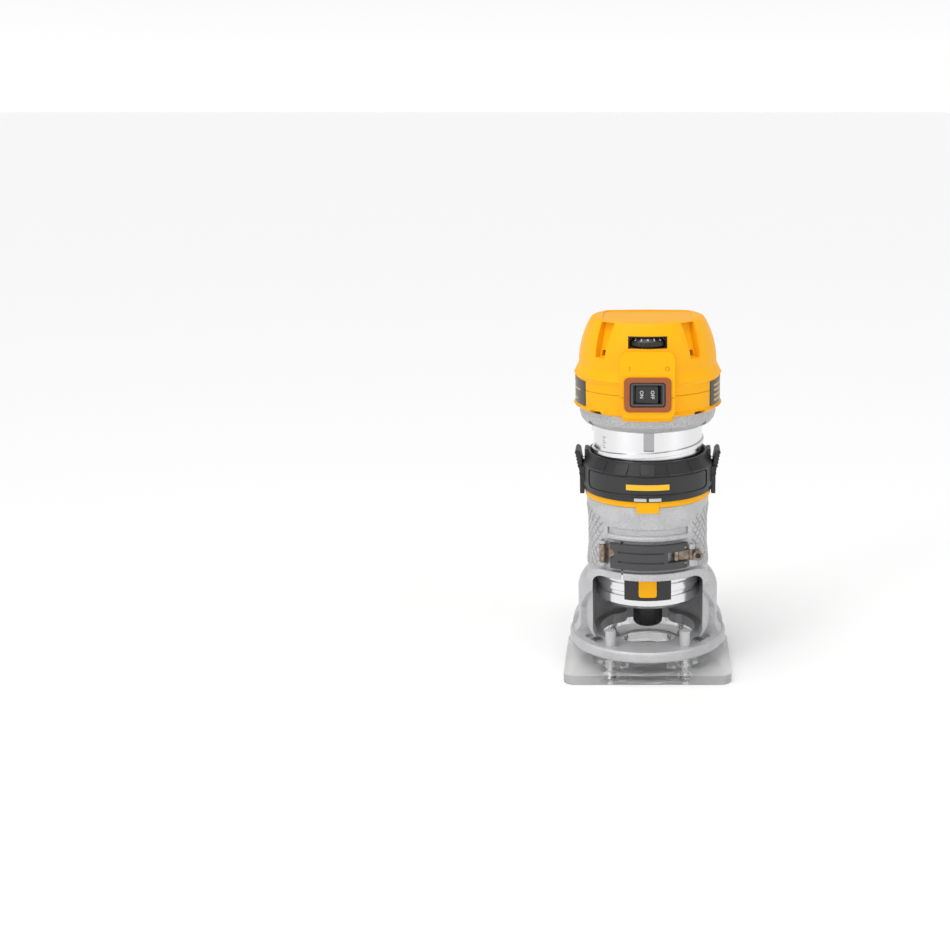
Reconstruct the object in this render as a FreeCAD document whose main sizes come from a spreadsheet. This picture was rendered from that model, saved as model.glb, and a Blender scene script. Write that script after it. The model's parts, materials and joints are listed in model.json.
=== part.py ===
import FreeCAD, Part
import math
import os

import Sketcher

# Trim router: a motor unit standing in its fixed base, millimetres, +Z up.
# Origin: on the surface that the sub-base stands on, under the spindle axis. The operator's side is -Y.

os.makedirs("parts", exist_ok=True)
doc = FreeCAD.newDocument("trim_router")
sheet = doc.addObject("Spreadsheet::Sheet", "dims")

# ---------------------------------------------------------------- driving dimensions

# A size in quotes follows from the sizes that it names, so that the parts stay fitted together.

DIMENSIONS = {
    # motor can and the helix that its height is set by
    "can_radius": 34.5, "can_wall": 3.0, "nose_radius": "can_radius - 0.7", "nose_bottom": 42.0,
    "nose_top": "nose_bottom + 16", "nose_floor": 12.0, "flange_bottom": 157.5,
    "flange_top": "flange_bottom + 10.7", "flange_radius": "can_radius + 8.5", "ridge_radius": "can_radius + 1.1",
    "ridge_height": 3.7, "ridge_start": 115.4, "ridge_turns": 2.75, "helix_lead": 12.7, "groove_width": 5.0,
    "groove_depth": 1.4, "groove_bottom": "nose_bottom + 20", "groove_top": "flange_bottom - 1.5",
    # base casting
    "slide_gap": 0.08, "plate_thickness": 6.0, "barrel_radius": "can_radius + 3.3", "barrel_top": 110.6,
    "collar_radius": "can_radius + 4.5", "collar_bottom": "barrel_top - 10.6", "leg_shoulder": 45.0,
    "barrel_bottom": "leg_shoulder + 19.5", "swell_radius": "can_radius + 4.5",
    "neck_radius": "can_radius + 2.9", "neck_top": "barrel_top + 10.4", "bead_radius": "can_radius + 3.8",
    "bead_height": 2.0, "leg_radius": "can_radius + 10.8", "leg_front": 13.0, "foot_bottom": "plate_thickness + 6.5",
    "foot_top": "foot_bottom + 6.8", "foot_radius": "can_radius + 16.4", "foot_hole": "can_radius - 3.5",
    "arch_radius": "can_radius + 8.1", "arch_width": 4.4, "post_x": "can_radius - 11", "post_y": "can_radius + 2.5",
    "post_radius": 3.3, "post_height": 10.3, "slit_x": 16.0, "slit_width": 1.2,
    "lug_rounding": 8.0, "lug_length": 22.0, "recess_angle": 35.3, "recess_radius": 4.4, "recess_depth": 2.2,
    # clear sub-base
    "plate_width": 106.0, "plate_length": 110.0, "plate_corner": 7.5, "plate_hole": 19.0, "plate_rim": 2.2,
    "spacer_radius": 4.2, "screw_spacer_radius": 5.5, "screw_radius": 2.0, "screw_head": 3.9, "screw_gap": 0.25,
    # ring stack above the barrel
    "scale_radius": "can_radius + 5.5", "scale_height": 3.5, "scale_gap": 0.4, "scale_tab_width": 14.2,
    "scale_tab_drop": 3.6, "ring_radius": "can_radius + 7.5", "ring_height": 24.2, "ring_bore": "can_radius + 1.9",
    "ring_gap": 0.3, "ring_top_radius": "can_radius + 3.5", "ring_lip_height": 3.2, "ring_shoulder": 7.2,
    "ring_flute": 3.4, "pad_rise": 0.7, "pad_width": 9.2, "panel_half_width": "can_radius + 2.5",
    "panel_line": 0.8, "panel_depth": 0.5, "lug_gap": 0.35, "lug_height": 2.6, "lug_width": 4.0,
    # release tabs on the ring
    "tab_width": 17.0, "tab_outer": "ring_radius + 1.1", "tab_inner": "ring_radius - 1.6",
    "tab_top": "barrel_top + 29.4", "tab_bottom": "barrel_top + 1.2", "tab_pivot_x": "ring_radius - 0.4",
    "tab_pivot_z": "barrel_top + 14.4", "tab_pin_radius": 1.0, "tab_gap": 0.35, "tab_lean": 9.7,
    # clamp: pins of the toggle linkage (distances right of and in front of the spindle axis)
    "strap_pin_x": 28.2, "strap_pin_y": "sqrt((can_radius + 6.31)^2 - strap_pin_x^2)",
    "lever_pin_x": 22.9, "lever_pin_y": "sqrt((can_radius + 6.41)^2 - lever_pin_x^2)",
    "link_pin_x": 17.6, "link_pin_y": "sqrt((can_radius + 5.392)^2 - link_pin_x^2)",
    "hook_pin_x": 27.4, "hook_pin_y": "sqrt((can_radius + 7.552)^2 - hook_pin_x^2)",
    "clamp_pin_radius": 1.0, "lever_bottom": "barrel_bottom + 6.5", "lever_height": 16.0,
    "lever_inner": "can_radius + 5.5", "lever_outer": "can_radius + 8.7", "strap_inner": "can_radius + 3.8",
    "strap_outer": "can_radius + 4.8", "link_bottom": "lever_bottom + 4.8", "link_height": "lever_height - 9.8",
    "link_thickness": 1.6, "hinge_gap": 0.3, "link_eye_gap": 0.55, "adjuster_x": "hook_pin_x + 4",
    "adjuster_y": "can_radius - 13", "adjuster_z": "lever_bottom + 8.4", "adjuster_radius": 1.55,
    "adjuster_head_radius": 3.0, "adjuster_head_length": 3.2, "adjuster_boss_radius": 3.6,
    "adjuster_boss_length": 7.8, "ledge_half_width": 25.0, "ledge_height": 3.6, "ledge_radius": "can_radius + 5.1",
    "ledge_groove_height": 4.2, "ledge_groove_depth": 0.9,
    # yellow housing
    "band_radius": "flange_radius + 2", "band_ridge": "band_radius + 1.5", "band_bore": "band_radius - 2.4",
    "seam": "flange_top + 13.4", "seam_gap": 0.2, "cap_waist": "band_radius - 1.9", "cap_waist_z": "seam + 14.4",
    "cap_edge_z": "seam + 40.8", "cap_edge_radius": "band_radius - 9", "cap_top": "cap_edge_z + 2.7",
    "cap_wall": 2.6, "rear_slope_start": 20.0, "rear_slope": 21.0, "boss_width": 33.0,
    "boss_front": "band_radius + 2.4", "boss_bottom": "flange_top + 0.6", "boss_top": "boot_z + 25.4",
    "boss_corner": 4.5, "boss_lean": 14.0, "recess_half_width": 27.5, "recess_front": 28.0, "recess_back": 18.0,
    "recess_corner": 7.0, "top_recess_depth": 0.9, "housing_screw_circle": "flange_radius - 4.4",
    "pillar_radius": 4.6, "housing_screw_radius": 1.75, "housing_screw_head": 3.2, "scoop_low_width": 7.4,
    "scoop_high_width": 10.6, "scoop_height": 20.5, "scoop_depth": 4.4,
    # switch and speed dial
    "boot_width": 28.0, "boot_height": 20.8, "boot_z": "seam + 1.8", "boot_lip": 0.9, "boot_opening": 21.6,
    "switch_height": 15.2, "switch_depth": 17.0, "rocker_width": 13.6, "rocker_height": 10.4,
    "rocker_gap": 0.3, "rocker_rest": -7.0, "dial_radius": 13.0, "dial_thickness": 5.6, "dial_z": "seam + 31.8",
    "dial_front": "cap_waist - 2.7", "dial_window": 23.4, "dial_window_height": 7.2, "dial_gap": 0.4,
    # spindle lock
    "lock_width": 30.0, "lock_bottom": "nose_bottom + 6.4", "lock_top": "nose_bottom + 21.7",
    "lock_front": "nose_radius + 1.1", "button_width": 11.4, "button_bottom": "nose_bottom + 8.8",
    "button_top": "nose_bottom + 21", "button_gap": 0.3, "button_travel": 3.0, "plunger_radius": 2.0,
    "plunger_z": "nose_bottom + 16.4", "lock_disc_radius": "spindle_radius + 4",
    # spindle line
    "spindle_radius": 6.0, "collet_bore": 3.175, "nut_radius": "spindle_radius + 3.5", "nut_height": 20.0,
    "nut_bottom": "nose_bottom - 0.8 - nut_height", "nut_flats": "2 * nut_radius - 1.6",
    "low_bearing_radius": "spindle_radius + 8", "low_bearing_width": 8.0, "low_bearing_z": "nose_bottom + 3",
    "high_bearing_radius": 11.0, "high_bearing_width": 7.0, "high_bearing_z": "flange_bottom - 7.5",
    "high_journal": "spindle_radius - 2", "race_share": 0.3, "ball_gap": 0.04, "fan_radius": "can_radius - 6",
    "fan_bottom": "nose_bottom + 21.5", "fan_height": 8.0, "stack_bottom": "nose_bottom + 40",
    "stack_height": 38.0, "stack_bore": "can_radius - 16.5", "air_gap": 0.5,
    "commutator_radius": "spindle_radius + 5", "commutator_bottom": "stack_bottom + stack_height + 10",
    "commutator_height": 12.0, "brush_width": 6.0, "brush_height": 8.0,
    # cord inlet at the back
    "inlet_radius": 7.5, "inlet_bore": 4.2, "inlet_z": "cap_waist_z + 3", "inlet_length": 12.0,
}


class Size:
    """A length that holds its number and the sheet expression that gives it."""

    def __init__(self, text, number):
        self.text = text
        self.number = number

    def _join(self, other, sign, number, swap=False):
        other = as_size(other)
        first, second = (other, self) if swap else (self, other)
        return Size(f"({first.text} {sign} {second.text})", number(first.number, second.number))

    def __add__(self, other):
        return self._join(other, "+", lambda a, b: a + b)

    def __radd__(self, other):
        return self._join(other, "+", lambda a, b: a + b, True)

    def __sub__(self, other):
        return self._join(other, "-", lambda a, b: a - b)

    def __rsub__(self, other):
        return self._join(other, "-", lambda a, b: a - b, True)

    def __mul__(self, other):
        return self._join(other, "*", lambda a, b: a * b)

    def __rmul__(self, other):
        return self._join(other, "*", lambda a, b: a * b, True)

    def __truediv__(self, other):
        return self._join(other, "/", lambda a, b: a / b)

    def __neg__(self):
        return 0 - self


def as_size(value):
    return value if isinstance(value, Size) else Size(f"({value})", float(value))


class Sheet:
    """The driving dimensions, each one a Size named after its cell's alias."""


d = Sheet()
for row, (alias, value) in enumerate(DIMENSIONS.items(), start=1):
    sheet.set(f"A{row}", alias)
    sheet.setAlias(f"B{row}", alias)
for row, value in enumerate(DIMENSIONS.values(), start=1):
    sheet.set(f"B{row}", f"={value}" if isinstance(value, str) else str(value))
doc.recompute()
for alias in DIMENSIONS:
    setattr(d, alias, Size(f"dims.{alias}", float(getattr(sheet, alias))))


def polar(radius, degrees):
    radius = as_size(radius)
    turn = math.radians(degrees)
    return (Size(f"({radius.text} * cos({degrees}))", radius.number * math.cos(turn)),
            Size(f"({radius.text} * sin({degrees}))", radius.number * math.sin(turn)))


# ---------------------------------------------------------------- building helpers

nodes = []


def bind(item, **sizes):
    for name, size in sizes.items():
        item.setExpression(name.replace("__", "."), as_size(size).text)


def place(item, x=0, y=0, z=0, axis=(0, 0, 1), turn=0):
    item.Placement = FreeCAD.Placement(FreeCAD.Vector(0, 0, 0), FreeCAD.Rotation(FreeCAD.Vector(*axis), turn))
    bind(item, Placement__Base__x=x, Placement__Base__y=y, Placement__Base__z=z)
    return item


def box(name, x, y, z):
    """A box from its lower and upper limit along each axis."""
    item = doc.addObject("Part::Box", name)
    bind(item, Length=x[1] - as_size(x[0]), Width=y[1] - as_size(y[0]), Height=z[1] - as_size(z[0]))
    return place(item, x[0], y[0], z[0])


def rod(name, radius, z, x=0, y=0):
    """An upright cylinder."""
    item = doc.addObject("Part::Cylinder", name)
    bind(item, Radius=radius, Height=z[1] - as_size(z[0]))
    return place(item, x, y, z[0])


def lying_rod(name, radius, length, start, heading, rise=0):
    """A cylinder that leaves its start along a heading in the XY plane (0 is +X, 90 is +Y)."""
    item = doc.addObject("Part::Cylinder", name)
    bind(item, Radius=radius, Height=length)
    place(item, *start)
    tilt = FreeCAD.Rotation(FreeCAD.Vector(0, 0, 1), heading) * FreeCAD.Rotation(FreeCAD.Vector(0, 1, 0), 90 - rise)
    item.Placement = FreeCAD.Placement(item.Placement.Base, tilt)
    return item


def cone(name, low_radius, high_radius, z, x=0, y=0):
    item = doc.addObject("Part::Cone", name)
    bind(item, Radius1=low_radius, Radius2=high_radius, Height=z[1] - as_size(z[0]))
    return place(item, x, y, z[0])


def torus(name, ring_radius, tube_radius, z):
    item = doc.addObject("Part::Torus", name)
    bind(item, Radius1=ring_radius, Radius2=tube_radius)
    return place(item, 0, 0, z)


def fuse(name, pieces):
    item = doc.addObject("Part::MultiFuse", name)
    item.Shapes = pieces
    return item


def common(name, pieces):
    item = doc.addObject("Part::MultiCommon", name)
    item.Shapes = pieces
    return item


def cut(name, base, tools):
    item = doc.addObject("Part::Cut", name)
    item.Base = base
    item.Tool = tools[0] if len(tools) == 1 else fuse(name + "_tools", tools)
    return item


def tube(name, outer, inner, z):
    return cut(name, rod(name + "_outer", outer, z), [rod(name + "_inner", inner, (z[0] - as_size(1), z[1] + as_size(1)))])


def turned(name, outline):
    """A body of revolution about Z. Each outline entry is (radius, height), or (radius, height, arc
    radius, side) for a round stretch from the entry before, bulging right (1) or left (-1) of it."""
    body = doc.addObject("PartDesign::Body", name)
    sketch = body.newObject("Sketcher::SketchObject", name + "_outline")
    plane = [item for item in body.Origin.OriginFeatures if item.Role == "XZ_Plane"][0]
    sketch.AttachmentSupport = [(plane, "")]
    sketch.MapMode = "FlatFace"
    points = [(as_size(entry[0]), as_size(entry[1])) for entry in outline]
    ends = []
    for index, entry in enumerate(outline):
        start = FreeCAD.Vector(points[index - 1][0].number, points[index - 1][1].number, 0)
        finish = FreeCAD.Vector(points[index][0].number, points[index][1].number, 0)
        if len(entry) == 2:
            sketch.addGeometry(Part.LineSegment(start, finish), False)
            ends.append((1, 2))
            continue
        radius = as_size(entry[2])
        along = finish - start
        side = FreeCAD.Vector(along.y, -along.x, 0).normalize() * entry[3]
        depth = math.sqrt(radius.number ** 2 - (along.Length / 2) ** 2)
        centre = (start + finish) * 0.5 - side * depth
        circle = Part.Circle(centre, FreeCAD.Vector(0, 0, 1), radius.number)
        angles = [math.atan2(point.y - centre.y, point.x - centre.x) for point in (start, finish)]
        if entry[3] < 0:
            angles.reverse()
        sketch.addGeometry(Part.ArcOfCircle(circle, angles[0], angles[1]), False)
        ends.append((1, 2) if entry[3] > 0 else (2, 1))
        row = sketch.addConstraint(Sketcher.Constraint("Radius", index, radius.number))
        sketch.setExpression(f"Constraints[{row}]", radius.text)
    for index, (first, last) in enumerate(ends):
        after = (index + 1) % len(ends)
        sketch.addConstraint(Sketcher.Constraint("Coincident", index, last, after, ends[after][0]))
        across, up = points[index]
        if across.number == 0:
            sketch.addConstraint(Sketcher.Constraint("PointOnObject", index, last, -2))
        else:
            row = sketch.addConstraint(Sketcher.Constraint("DistanceX", -1, 1, index, last, across.number))
            sketch.setExpression(f"Constraints[{row}]", across.text)
        row = sketch.addConstraint(Sketcher.Constraint("DistanceY", -1, 1, index, last, up.number))
        sketch.setExpression(f"Constraints[{row}]", up.text)
    revolution = body.newObject("PartDesign::Revolution", name + "_turn")
    revolution.Profile = sketch
    revolution.ReferenceAxis = (sketch, ["V_Axis"])
    revolution.Angle = 360
    sketch.Visibility = False
    return body


def rounded_front(name, half_width, y, z, radius):
    """A block with its four edges along Y rounded."""
    low, high = z
    pieces = [box(f"{name}_wide", (-half_width, half_width), y, (low + radius, high - as_size(radius))),
              box(f"{name}_tall", (radius - as_size(half_width), half_width - as_size(radius)), y, z)]
    for side in (1, -1):
        for level, height in (("low", low + radius), ("high", high - as_size(radius))):
            pieces.append(lying_rod(f"{name}_{level}_{side}", radius, y[1] - as_size(y[0]),
                                    (side * (half_width - radius), y[0], height), 90))
    return fuse(name, pieces)


def publish(label, item):
    """Names a finished sub-part and lists it for export."""
    item.Label = label
    nodes.append(item)
    return item


# ---------------------------------------------------------------- clear sub-base

SPACER_ANGLES = (68.2, 44.9)
SIDES = [(1, 1), (1, -1), (-1, 1), (-1, -1)]
OVERRUN = 1
FAR = 60

bore = d.ridge_radius + d.slide_gap
half_width = d.plate_width / 2
half_length = d.plate_length / 2
plate_span = (0, d.plate_thickness)
front_corners = [rod(f"plate_corner_{side}", d.plate_corner, plate_span, side * (half_width - d.plate_corner),
                     d.plate_corner - half_length) for side in (1, -1)]
plate_front = fuse("plate_front", front_corners + [
    box("plate_front_middle", (d.plate_corner - half_width, half_width - d.plate_corner),
        (-half_length, 0), plate_span),
    box("plate_front_sides", (-half_width, half_width), (d.plate_corner - half_length, 0), plate_span)])
plate_rear = common("plate_rear", [
    rod("plate_rear_round", half_length, plate_span),
    box("plate_rear_sides", (-half_width, half_width), (-OVERRUN, half_length), plate_span)])
stud_span = (d.plate_thickness - OVERRUN, d.foot_bottom)
spacers = []
for index, angle in enumerate(SPACER_ANGLES):
    x, y = polar(d.foot_radius - 7.1, angle)
    spacers += [rod(f"spacer_{index}_{sx}_{sy}", d.spacer_radius, stud_span, sx * x, sy * y) for sx, sy in SIDES]
spacers += [rod(f"screw_spacer_{sx}_{sy}", d.screw_spacer_radius, stud_span, sx * d.post_x, sy * d.post_y)
            for sx, sy in SIDES]
head_low, head_high = 0.5, 2.6
screw_ways = [rod(f"screw_way_{sx}_{sy}", d.screw_radius + d.screw_gap, (-OVERRUN, d.foot_bottom + OVERRUN),
                  sx * d.post_x, sy * d.post_y) for sx, sy in SIDES]
screw_seats = [cone(f"screw_seat_{sx}_{sy}", d.screw_head + 1.2, d.screw_radius, (-0.6, head_high),
                    sx * d.post_x, sy * d.post_y) for sx, sy in SIDES]
plate_rim = tube("plate_rim", d.plate_hole + 4, d.plate_hole,
                 (d.plate_thickness - OVERRUN, d.plate_thickness + d.plate_rim))
plate_hole = rod("plate_hole_tool", d.plate_hole, (-OVERRUN, d.plate_thickness + OVERRUN))
plate_step = rod("plate_step_tool", d.plate_hole + 2, (-OVERRUN, 2))
plate_solid = fuse("plate_solid", [plate_front, plate_rear, plate_rim] + spacers)
publish("sub_base", cut("sub_base_body", plate_solid, [plate_hole, plate_step] + screw_ways + screw_seats))

post_top = d.foot_top + d.post_height
thread_top = post_top - 3
slot_half, slot_reach = 0.4, 1.6
screw_solids = []
for sx, sy in SIDES:
    x, y = sx * d.post_x, sy * d.post_y
    head = cone(f"base_screw_head_{sx}_{sy}", d.screw_head, d.screw_radius, (head_low, head_high), x, y)
    shank = rod(f"base_screw_shank_{sx}_{sy}", d.screw_radius, (head_high, thread_top), x, y)
    cross = []
    for turn in (0, 1):
        across, along = slot_half + slot_reach * turn, slot_half + slot_reach * (1 - turn)
        cross.append(box(f"base_screw_cross_{turn}_{sx}_{sy}", (x - across, x + across), (y - along, y + along),
                         (0, head_low + 0.9)))
    screw_solids.append(cut(f"base_screw_{sx}_{sy}", fuse(f"base_screw_body_{sx}_{sy}", [head, shank]), cross))
publish("sub_base_screws", fuse("sub_base_screw_set", screw_solids))


# ---------------------------------------------------------------- base casting

leg_foot = d.leg_radius + 3.4
leg_end = d.leg_shoulder + 15
root_radius = d.barrel_radius + 1.2
leg_outline = [(bore, d.foot_bottom + 3), (leg_foot, d.foot_bottom + 3), (leg_foot, d.foot_top),
               (d.leg_radius, d.foot_top + 8, 12, -1), (d.leg_radius, d.leg_shoulder),
               (root_radius, leg_end, 17, 1), (bore, leg_end)]
barrel_outline = [
    (bore, leg_end - 5), (root_radius, leg_end - 5), (d.swell_radius, d.barrel_bottom),
    (d.barrel_radius, d.barrel_bottom + 13), (d.barrel_radius, d.collar_bottom - 4),
    (d.collar_radius, d.collar_bottom + 7), (d.collar_radius, d.barrel_top), (d.neck_radius, d.barrel_top),
    (d.neck_radius, d.neck_top - d.bead_height), (d.bead_radius, d.neck_top - d.bead_height),
    (d.bead_radius, d.neck_top - 1), (d.bead_radius - 1, d.neck_top), (bore, d.neck_top)]
foot_outline = [(0, d.foot_bottom), (d.foot_radius - 0.8, d.foot_bottom), (d.foot_radius, d.foot_bottom + 0.8),
                (d.foot_radius, d.foot_top - 1.2), (d.foot_radius - 1.2, d.foot_top), (0, d.foot_top)]
legs = turned("legs", leg_outline)
barrel = turned("barrel", barrel_outline)
foot = turned("foot", foot_outline)

# The operator's side is open between the legs, from the foot to the bottom of the barrel. The fronts
# of the legs lean forward to meet the barrel, and an arch runs round the top of the opening.
window_top = d.barrel_bottom - 0.5
window_half = bore - 0.6
window_corner = 7
lean_start = d.leg_shoulder - 8
window = rounded_front("window", window_half, (-FAR, -d.leg_front / 2), (d.foot_top, window_top), window_corner)
leg_fronts = box("leg_fronts", (-FAR, FAR), (-FAR, -d.leg_front), (d.foot_top, lean_start))
leg_lean = 40
lean_along, lean_up = polar(FAR, leg_lean)
lean_cut = box("leg_lean_tool", (-FAR, FAR), (0, FAR), (0, FAR))
lean_cut.Placement = FreeCAD.Placement(FreeCAD.Vector(0, 0, 0), FreeCAD.Rotation(FreeCAD.Vector(1, 0, 0), leg_lean))
bind(lean_cut, Placement__Base__x=-FAR, Placement__Base__y=-d.leg_front - lean_along,
     Placement__Base__z=lean_start - lean_up)
leg_sides = cut("leg_sides", lean_cut, [box("leg_lean_limit", (-FAR - 1, FAR + 1), (-2 * FAR, FAR), (-FAR, d.foot_top))])
arch_top = window_top + d.arch_width
arch = common("arch", [
    tube("arch_ring", d.arch_radius, bore + 1, (d.foot_top + 2, arch_top)),
    cut("arch_band", rounded_front("arch_outside", window_half + d.arch_width, (-FAR, -d.leg_front),
                                   (d.foot_top, arch_top), window_corner + d.arch_width), [window])])
foot_span = (d.foot_bottom, d.foot_top)
foot_hole = rod("foot_hole_tool", d.foot_hole, (d.foot_bottom - OVERRUN, d.foot_top + OVERRUN))
hole_back = common("hole_back", [
    rod("hole_back_round", bore - 0.4, (d.foot_bottom - OVERRUN, d.foot_top + OVERRUN)),
    box("hole_back_half", (-d.foot_hole + 8, d.foot_hole - 8), (0, FAR), (d.foot_bottom - OVERRUN, d.foot_top + OVERRUN))])
hole_lobes = [rod(f"hole_lobe_{sx}_{sy}", 10, foot_span, sx * (d.foot_hole - 7), sy * d.foot_hole)
              for sx, sy in SIDES]
lobe_limit = rod("lobe_limit", d.foot_radius - 2, foot_span)
foot_open = fuse("foot_open", [cut("foot_ring", foot, [foot_hole, hole_back]),
                               common("lobes_in_foot", [fuse("hole_lobes", hole_lobes), lobe_limit])])

# Screw posts in front and behind, side lugs for the edge guide, and recesses for the guide's screws.
posts = [rod(f"post_{sx}_{sy}", d.post_radius, (d.foot_bottom, post_top), sx * d.post_x, sy * d.post_y)
         for sx, sy in SIDES]
lug_start = 4
lugs = []
for side in (1, -1):
    middle = side * (d.foot_radius - 1.6 - d.lug_rounding)
    block = fuse(f"lug_block_{side}", [
        lying_rod(f"lug_corner_{side}", d.lug_rounding, d.lug_length, (middle, lug_start, d.foot_top + 2), 90),
        box(f"lug_low_{side}", (middle - d.lug_rounding, middle + d.lug_rounding),
            (lug_start, lug_start + d.lug_length), (d.foot_bottom + 1, d.foot_top + 2))])
    lugs.append(common(f"lug_{side}", [block, tube(f"lug_limit_{side}", d.foot_radius - 0.8, bore + 2,
                                                   (d.foot_bottom + 0.5, d.foot_top + 10))]))
recess_circle = d.foot_radius - 10.2
guide_screws = [polar(recess_circle, turn) for turn in (-DIMENSIONS["recess_angle"],
                                                        180 + DIMENSIONS["recess_angle"])]
recesses = []
for index, (x, y) in enumerate(guide_screws):
    for step in (-7, 0, 7):
        turn = (-DIMENSIONS["recess_angle"] if index == 0 else 180 + DIMENSIONS["recess_angle"]) + step
        recesses.append(rod(f"recess_{index}_{step}", d.recess_radius,
                            (d.foot_top - d.recess_depth, d.foot_top + OVERRUN), *polar(recess_circle, turn)))
    recesses.append(rod(f"recess_screw_way_{index}", 1.6, (d.foot_bottom - OVERRUN, d.foot_top), x, y))

# The ledge over the clamp lever, with a groove above it, on the front of the barrel.
ledge_low = d.lever_bottom + d.lever_height + 1
ledge_high = ledge_low + d.ledge_height
groove_high = ledge_high + d.ledge_groove_height
ledge_sides = (-d.ledge_half_width, d.ledge_half_width)
ledge_ring = turned("ledge_ring", [
    (bore + 1, ledge_low), (d.ledge_radius - 0.9, ledge_low), (d.ledge_radius, ledge_low + 0.9),
    (d.ledge_radius, ledge_high - 1.4), (d.ledge_radius - 1.4, ledge_high, 1.5, 1), (bore + 1, ledge_high)])
ledge = common("ledge", [ledge_ring, box("ledge_front", ledge_sides, (-FAR, -20), (ledge_low, ledge_high))])
groove_floor = d.barrel_radius - d.ledge_groove_depth
ledge_groove = common("ledge_groove", [
    tube("ledge_groove_ring", d.barrel_radius + 4, groove_floor, (ledge_high, groove_high)),
    box("ledge_groove_front", ledge_sides, (-FAR, -20), (ledge_high, groove_high))])


def clamp_lug(name, x, y, radius):
    """Two ears, above and below what turns on the pin between them."""
    low = (d.lever_bottom + 0.2, d.link_bottom - d.hinge_gap)
    high = (d.link_bottom + d.link_height + d.hinge_gap, d.lever_bottom + d.lever_height - 1.5)
    ears = []
    for level, span in (("low", low), ("high", high)):
        ear = rod(f"{name}_{level}", radius, span, x, y)
        root = rod(f"{name}_root_{level}", radius, span, x * LUG_ROOT, y * LUG_ROOT)
        ears.append(fuse(f"{name}_ear_{level}", [ear, root]))
    return fuse(name, ears)


LUG_ROOT = 0.86
knuckle_radius = 2.2
hook_x, hook_y = d.hook_pin_x, -d.hook_pin_y
hook_lug = clamp_lug("hook_lug", hook_x, hook_y, knuckle_radius)
strap_x, strap_y = -d.strap_pin_x, -d.strap_pin_y
strap_height = (d.lever_bottom + 2.2, d.lever_bottom + d.lever_height - 2.2)
strap_lugs = []
for level, span in (("low", (d.lever_bottom, strap_height[0] - d.hinge_gap)),
                    ("high", (strap_height[1] + d.hinge_gap, d.lever_bottom + d.lever_height))):
    strap_lugs.append(rod(f"strap_lug_{level}", knuckle_radius, span, strap_x, strap_y))
    strap_lugs.append(rod(f"strap_lug_root_{level}", knuckle_radius + 0.2, span, strap_x * LUG_ROOT, strap_y * LUG_ROOT))
TO_FRONT = -90
TO_BACK = 90
adjuster_start = (d.adjuster_x, -d.adjuster_y, d.adjuster_z)
adjuster_boss = lying_rod("adjuster_boss", d.adjuster_boss_radius, d.adjuster_boss_length, adjuster_start, TO_FRONT)

slit = box("slit", (-d.slit_x - d.slit_width / 2, -d.slit_x + d.slit_width / 2), (-FAR, -20),
           (window_top - 6, d.lever_bottom + d.lever_height + 0.4))
bore_tool = rod("bore_tool", bore, (d.foot_top, d.neck_top + OVERRUN))
pin_ways = [rod("hook_pin_way", d.clamp_pin_radius, (d.lever_bottom - 1.6, d.lever_bottom + d.lever_height), hook_x, hook_y),
            rod("strap_pin_way", d.clamp_pin_radius, (d.lever_bottom - 1.6, d.lever_bottom + d.lever_height + OVERRUN),
                strap_x, strap_y)]
link_room = rod("link_room", knuckle_radius + 1.4, (d.link_bottom - d.hinge_gap, d.link_bottom + d.link_height + d.hinge_gap),
                hook_x, hook_y)
strap_room = rod("strap_room", knuckle_radius + 0.8, (strap_height[0] - d.hinge_gap, strap_height[1] + d.hinge_gap),
                 strap_x, strap_y)
adjuster_way = lying_rod("adjuster_way", d.adjuster_radius + 0.05, d.adjuster_boss_length + 3, adjuster_start, TO_FRONT)
guide_pin_z = d.barrel_top - 5.3
guide_pin_radius = 2.0
guide_way = lying_rod("guide_way", guide_pin_radius, 8, (0, bore - 2, guide_pin_z), TO_BACK)
post_ways = [rod(f"post_way_{sx}_{sy}", d.screw_radius, (d.foot_bottom - OVERRUN, thread_top),
                 sx * d.post_x, sy * d.post_y) for sx, sy in SIDES]
leg_walls = cut("leg_walls", legs, [window, leg_fronts, leg_sides])
barrel_walls = cut("barrel_walls", barrel, [window, ledge_groove])
casting_solid = fuse("casting_walls", [leg_walls, barrel_walls])
casting = fuse("casting_whole", [casting_solid, foot_open, arch, ledge, hook_lug, adjuster_boss]
               + posts + lugs + strap_lugs)
publish("base_casting", cut("base_casting_body", casting,
                            [bore_tool, slit, link_room, strap_room, adjuster_way, guide_way]
                            + pin_ways + post_ways + recesses))
guide_pin_tip = d.can_radius - d.groove_depth + 0.4
publish("guide_pin", lying_rod("guide_pin_body", guide_pin_radius, d.collar_radius - 0.8 - guide_pin_tip,
                               (0, guide_pin_tip, guide_pin_z), TO_BACK))
recess_screws = []
for index, (x, y) in enumerate(guide_screws):
    body = fuse(f"recess_screw_{index}", [
        rod(f"recess_head_{index}", 3.2, (d.foot_top - d.recess_depth, d.foot_top - 0.4), x, y),
        rod(f"recess_shank_{index}", 1.6, (d.foot_bottom + 1, d.foot_top - d.recess_depth), x, y)])
    recess_screws.append(cut(f"recess_screw_cut_{index}", body, [
        box(f"recess_slot_{index}", (x - 2.4, x + 2.4), (y - 0.4, y + 0.4), (d.foot_top - 1.2, d.foot_top))]))
publish("guide_bushing_screws", fuse("recess_screw_set", recess_screws))


# ---------------------------------------------------------------- clamp: strap, lever, link and adjuster

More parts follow.
